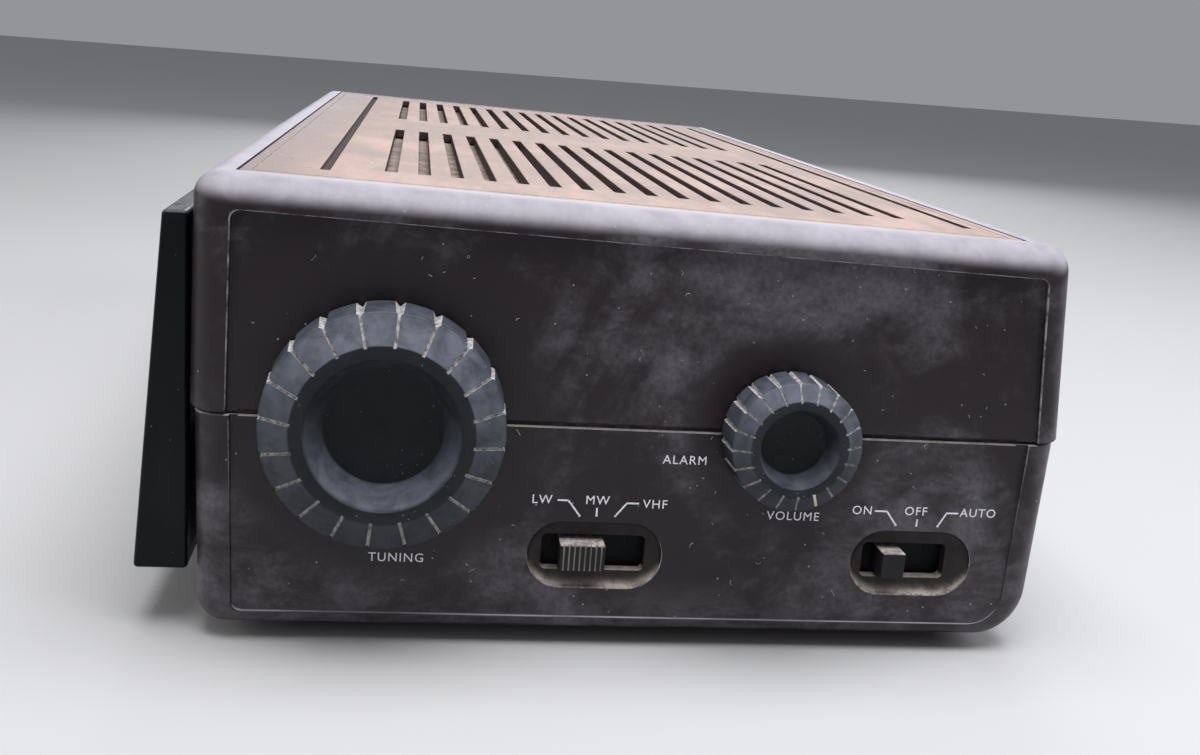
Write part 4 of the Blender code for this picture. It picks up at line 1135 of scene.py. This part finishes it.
def make_knobs():
    base = -0.5
    tuning = ((0, 3.4), (10.05, 3.4), (12.73, 10.2), (14.94, 10.2), (20.0, 7.66), (20.3, base), (0, base))
    zones = ((0, 0.0), (9.9, 0.02), (10.2, 0.3), (12.4, 0.24), (12.8, 0.03), (14.8, 0.05), (15.1, 0.3),
             (19.6, 0.28), (20.05, 0.12), (20.4, 0.12))
    make_knob("tuning_wheel", "tuning", "tuning_knob", 0.0, tuning, ((14.94, 10.2), (20.0, 7.66)),
              math.radians(-5.4), 1.2, 0.55, zones)
    volume = ((0, 4.66), (5.6, 4.66), (6.88, 9.12), (8.47, 9.15), (11.3, 7.54), (11.5, base), (0, base))
    zones = ((0, 0.0), (5.5, 0.02), (5.7, 0.24), (6.8, 0.2), (7.0, 0.06), (8.4, 0.08), (8.6, 0.28),
             (11.1, 0.26), (11.35, 0.14), (11.6, 0.14))
    make_knob("volume_wheel", "volume", "volume_knob", VOLUME_Y, volume, ((8.47, 9.15), (11.3, 7.54)),
              math.radians(4.0), 0.85, 0.36, zones)
    mark = blocks("volume_mark", [((-0.03, -0.22, -1.75), (0.06, 0.22, 1.2))], origin=(0, 0, 0),
                  material="pointer_mark")
    lean = math.atan2(9.15 - 7.54, 11.3 - 8.47)
    turn = Matrix.Rotation(math.radians(-157), 4, "X")
    mark.matrix_world = (Matrix.Translation(at(0, VOLUME_Y, 0)) @ turn @
                         shifted((9.15 + 7.54) / 2, 0, (8.47 + 11.3) / 2) @ Matrix.Rotation(-lean, 4, "Y"))
    mount(mark, "volume", "knob_plastic")


# ---- switches

def make_slider(name, body, node, ribs):
    """A slide switch's knob and its carriage; the wide one has upright ribs."""
    low, high = span_of(node)
    reach = (high.y - low.y) / 2
    half = 4.0 if ribs else 2.15
    slider = blocks(name, [((-7.5, -reach, -4.0), (-4.6, reach, 4.0))], material="black")
    nub = bevelled(blocks("nub", [((-6.0, -half, -2.45), (1.5, half, 2.35))], material="nub"), 0.3, 3)
    tools = []
    if ribs:
        for k in range(8):
            y = -half + 0.71 + k * 0.94
            tools.append(((1.05, y - 0.13, -3.0), (2.5, y + 0.13, 3.0)))
    for piece in (slider, nub):
        piece.location = at(0, (low.y + high.y) / 2, -23.2)
    if tools:
        cutters = blocks("ribs", tools, material="rib_dust")
        cutters.location = nub.location
        cut(nub, cutters)
    join(slider, nub)
    return mount(polished(slider), body, "switch_plastic", node)


# ---- underside

def make_screws():
    """Cabinet screws with cross recesses, deep in their wells."""
    profile = ((0, 13), (1.5, 11.5), (1.5, -26.3), (3.1, -26.3), (3.2, -26.5), (3.2, -27.4), (3.0, -27.8),
               (2.2, -28.3), (0, -28.3))
    for k in range(1, 5):
        centre = place_of(f"cabinet_screw_{k}")
        screw = turned(f"long_screw_{k}", profile, (centre.x, centre.y, 0), "Z", 48, "steel")
        cross = [((-1.7, -0.35, -29.0), (1.7, 0.35, -27.2)), ((-0.35, -1.7, -29.0), (0.35, 1.7, -27.2))]
        for box in cross:
            cut(screw, blocks("cross", [box], origin=screw.location, material="iron"))
        mount(polished(screw), "cabinet", "plated_steel", f"cabinet_screw_{k}")


def make_plate():
    """A blank rating plate with rounded corners, stamped with a raised border, on the underside."""
    bodies = []
    for name, low, high, radius, rises, material in (
            ("rating_plate", (-150.0, 20.0), (-88.0, 50.0), 2.0, (0.1, -0.25), "steel"),
            ("field", (-148.5, 21.5), (-89.5, 48.5), 1.2, (-0.12, -0.5), "scale")):
        outline = rounded_rectangle(low, high, radius)
        bodies.append(lofted(name, [[(p.x, p.y, rise - BASE) for p in outline] for rise in rises], material))
    plate, field = bodies
    return mount(polished(bevelled(cut(plate, field), 0.05, 2)), "cabinet", "plated_steel")


# ---- dust and lint

def make_lint():
    """Short curled fibres and grit stuck to the control end and lying on the top."""
    rng = random.Random(7)
    curve = bpy.data.curves.new("lint", "CURVE")
    curve.dimensions = "3D"
    curve.bevel_depth = 0.032 * MM
    curve.bevel_resolution = 1
    curve.use_fill_caps = True

    def fibre(frame_of, length):
        heading = rng.uniform(0, 2 * math.pi)
        bend = rng.uniform(-1.1, 1.1)
        place = Vector((0.0, 0.0))
        spline = curve.splines.new("POLY")
        count = 6
        spline.points.add(count - 1)
        for point in spline.points:
            point.co = (*(frame_of @ Vector((place.x * MM, place.y * MM, 0.03 * MM))), 1)
            place = place + Vector((math.cos(heading), math.sin(heading))) * (length / count)
            heading += bend + rng.uniform(-0.3, 0.3)

    def clear_of_controls(y, z):
        if math.hypot(y, z) < 22 or math.hypot(y - VOLUME_Y, z) < 13 or abs(z) < 1:
            return False
        return not (z < -11 and (23 < y < 51 or 82 < y < 110))

    on_end, on_top = 58, 46
    made = 0
    while made < on_end:
        y, z = rng.uniform(-22, 109), rng.uniform(-30, 30)
        if clear_of_controls(y, z):
            fibre(end_surface(y, z, 0.0), rng.choice((0.4, 0.5, 0.7, 0.9, 1.5)))
            made += 1
    for _ in range(on_top):
        x, y = rng.uniform(-140, 140), rng.choice((rng.uniform(-23, -14), rng.uniform(98, 104)))
        fibre(TOP_PLANE @ shifted(x, y, 0), rng.uniform(0.8, 3.0))
    return mount(meshed("lint", curve, "lint"), "cabinet", "cabinet_plastic")


# ---- CAD nodes that stay

KEPT = {
    "rubber": ["rubber_foot_1", "rubber_foot_2", "rubber_foot_3", "rubber_foot_4", "cord_gland"],
    "steel": ["tuning_shaft", "volume_shaft", "tuning_bracket", "dial_frame", "pointer_rail",
              "guide_pulley_pin", "volume_control", "board_screw_1", "board_screw_2"],
    "brass": ["capacitor_shaft"],
    "board": ["main_board", "control_board", "clock_board", "button_strip"],
    "white": ["tuning_drum", "tuning_capacitor", "guide_pulley_upper", "guide_pulley_lower", "return_pulley",
              "rod_holder"],
    "red": ["dial_pointer"],
    "iron": ["transformer_core", "speaker_frame"],
    "ferrite": ["speaker_magnet", "ferrite_rod"],
    "paper": ["speaker_cone"],
    "copper": ["transformer_winding", "medium_wave_coil", "long_wave_coil"],
    "sleeve": ["filter_capacitor"],
    "cord": ["dial_cord"],
    "black": ["clock_chip", "band_switch", "auto_switch"],
}


def dress_kept_nodes():
    for finish, names in KEPT.items():
        for name in names:
            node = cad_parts[name]
            node.data.materials.clear()
            node.data.materials.append(MATERIALS[finish])
            weld = node.modifiers.new("weld", "WELD")
            weld.merge_threshold = 0.00001
            smooth = node.modifiers.new("edges", "BEVEL")
            smooth.width = 0.08 * MM
            smooth.segments = 1
            smooth.limit_method = "ANGLE"
            smooth.angle_limit = math.radians(50)


# ---- stage

def make_stage():
    bm = bmesh.new()
    bmesh.ops.create_grid(bm, x_segments=1, y_segments=1, size=4.0)
    floor = object_from("floor", bm, origin=(0, 0, 0))
    m = Shader("floor", roughness=0.75, specular=0.2)
    floor.data.materials.append(m.finish(m.mix(m.noise(300, 3), (0.44, 0.437, 0.43), (0.47, 0.466, 0.46))))
    world = bpy.data.worlds.new("studio")
    bpy.context.scene.world = world
    world.use_nodes = True
    world.node_tree.nodes["Background"].inputs["Color"].default_value = (0.86, 0.88, 0.95, 1)
    world.node_tree.nodes["Background"].inputs["Strength"].default_value = 0.34
    for name, place, size, power, colour in (
            ("overhead", (0.2, 0.03, 0.62), 0.5, 6.2, (0.94, 0.95, 1.0)),
            ("behind", (-0.85, 0.15, 0.5), 0.7, 4.0, (0.95, 0.96, 1.0)),
            ("side", (0.05, 0.8, 0.5), 0.5, 4.0, (0.95, 0.96, 1.0)),
            ("front", (0.15, -0.8, 0.35), 0.5, 2.0, (1.0, 0.98, 0.96))):
        light = bpy.data.lights.new(name, "AREA")
        light.energy = power
        light.size = size
        light.color = colour
        lamp = linked(name, light)
        lamp.location = place
        lamp.rotation_euler = (Vector((0.05, 0, 0.04)) - Vector(place)).to_track_quat("-Z", "Y").to_euler()


def make_camera():
    """Close to the control end, a little above the knobs, turned towards the top's far end."""
    heading, tilt, roll = math.radians(81.63), math.radians(90 - 13.68), math.radians(4.5)
    camera = bpy.data.cameras.new("camera")
    camera.sensor_width = 36.0
    camera.lens = 40.65
    camera.clip_start = 0.01
    made = linked("camera", camera)
    turn = Matrix.Rotation(heading, 4, "Z") @ Matrix.Rotation(tilt, 4, "X") @ Matrix.Rotation(roll, 4, "Z")
    made.matrix_world = Matrix.Translation(at(220.2, 3.3, 63.1)) @ turn
    bpy.context.scene.camera = made


make_camera()
make_upper_shell()
make_lower_shell()
make_seam()
make_grille()
make_cloth()
make_bezel()
make_window()
make_mask()
make_buttons()
make_display()
make_dial()
make_labels()
make_button_labels()
make_knobs()
make_slider("band_nub", "band", "band_slider", True)
make_slider("auto_nub", "auto", "auto_slider", False)
make_screws()
make_plate()
make_lint()
dress_kept_nodes()
make_stage()
bpy.context.scene.view_settings.view_transform = "Standard"
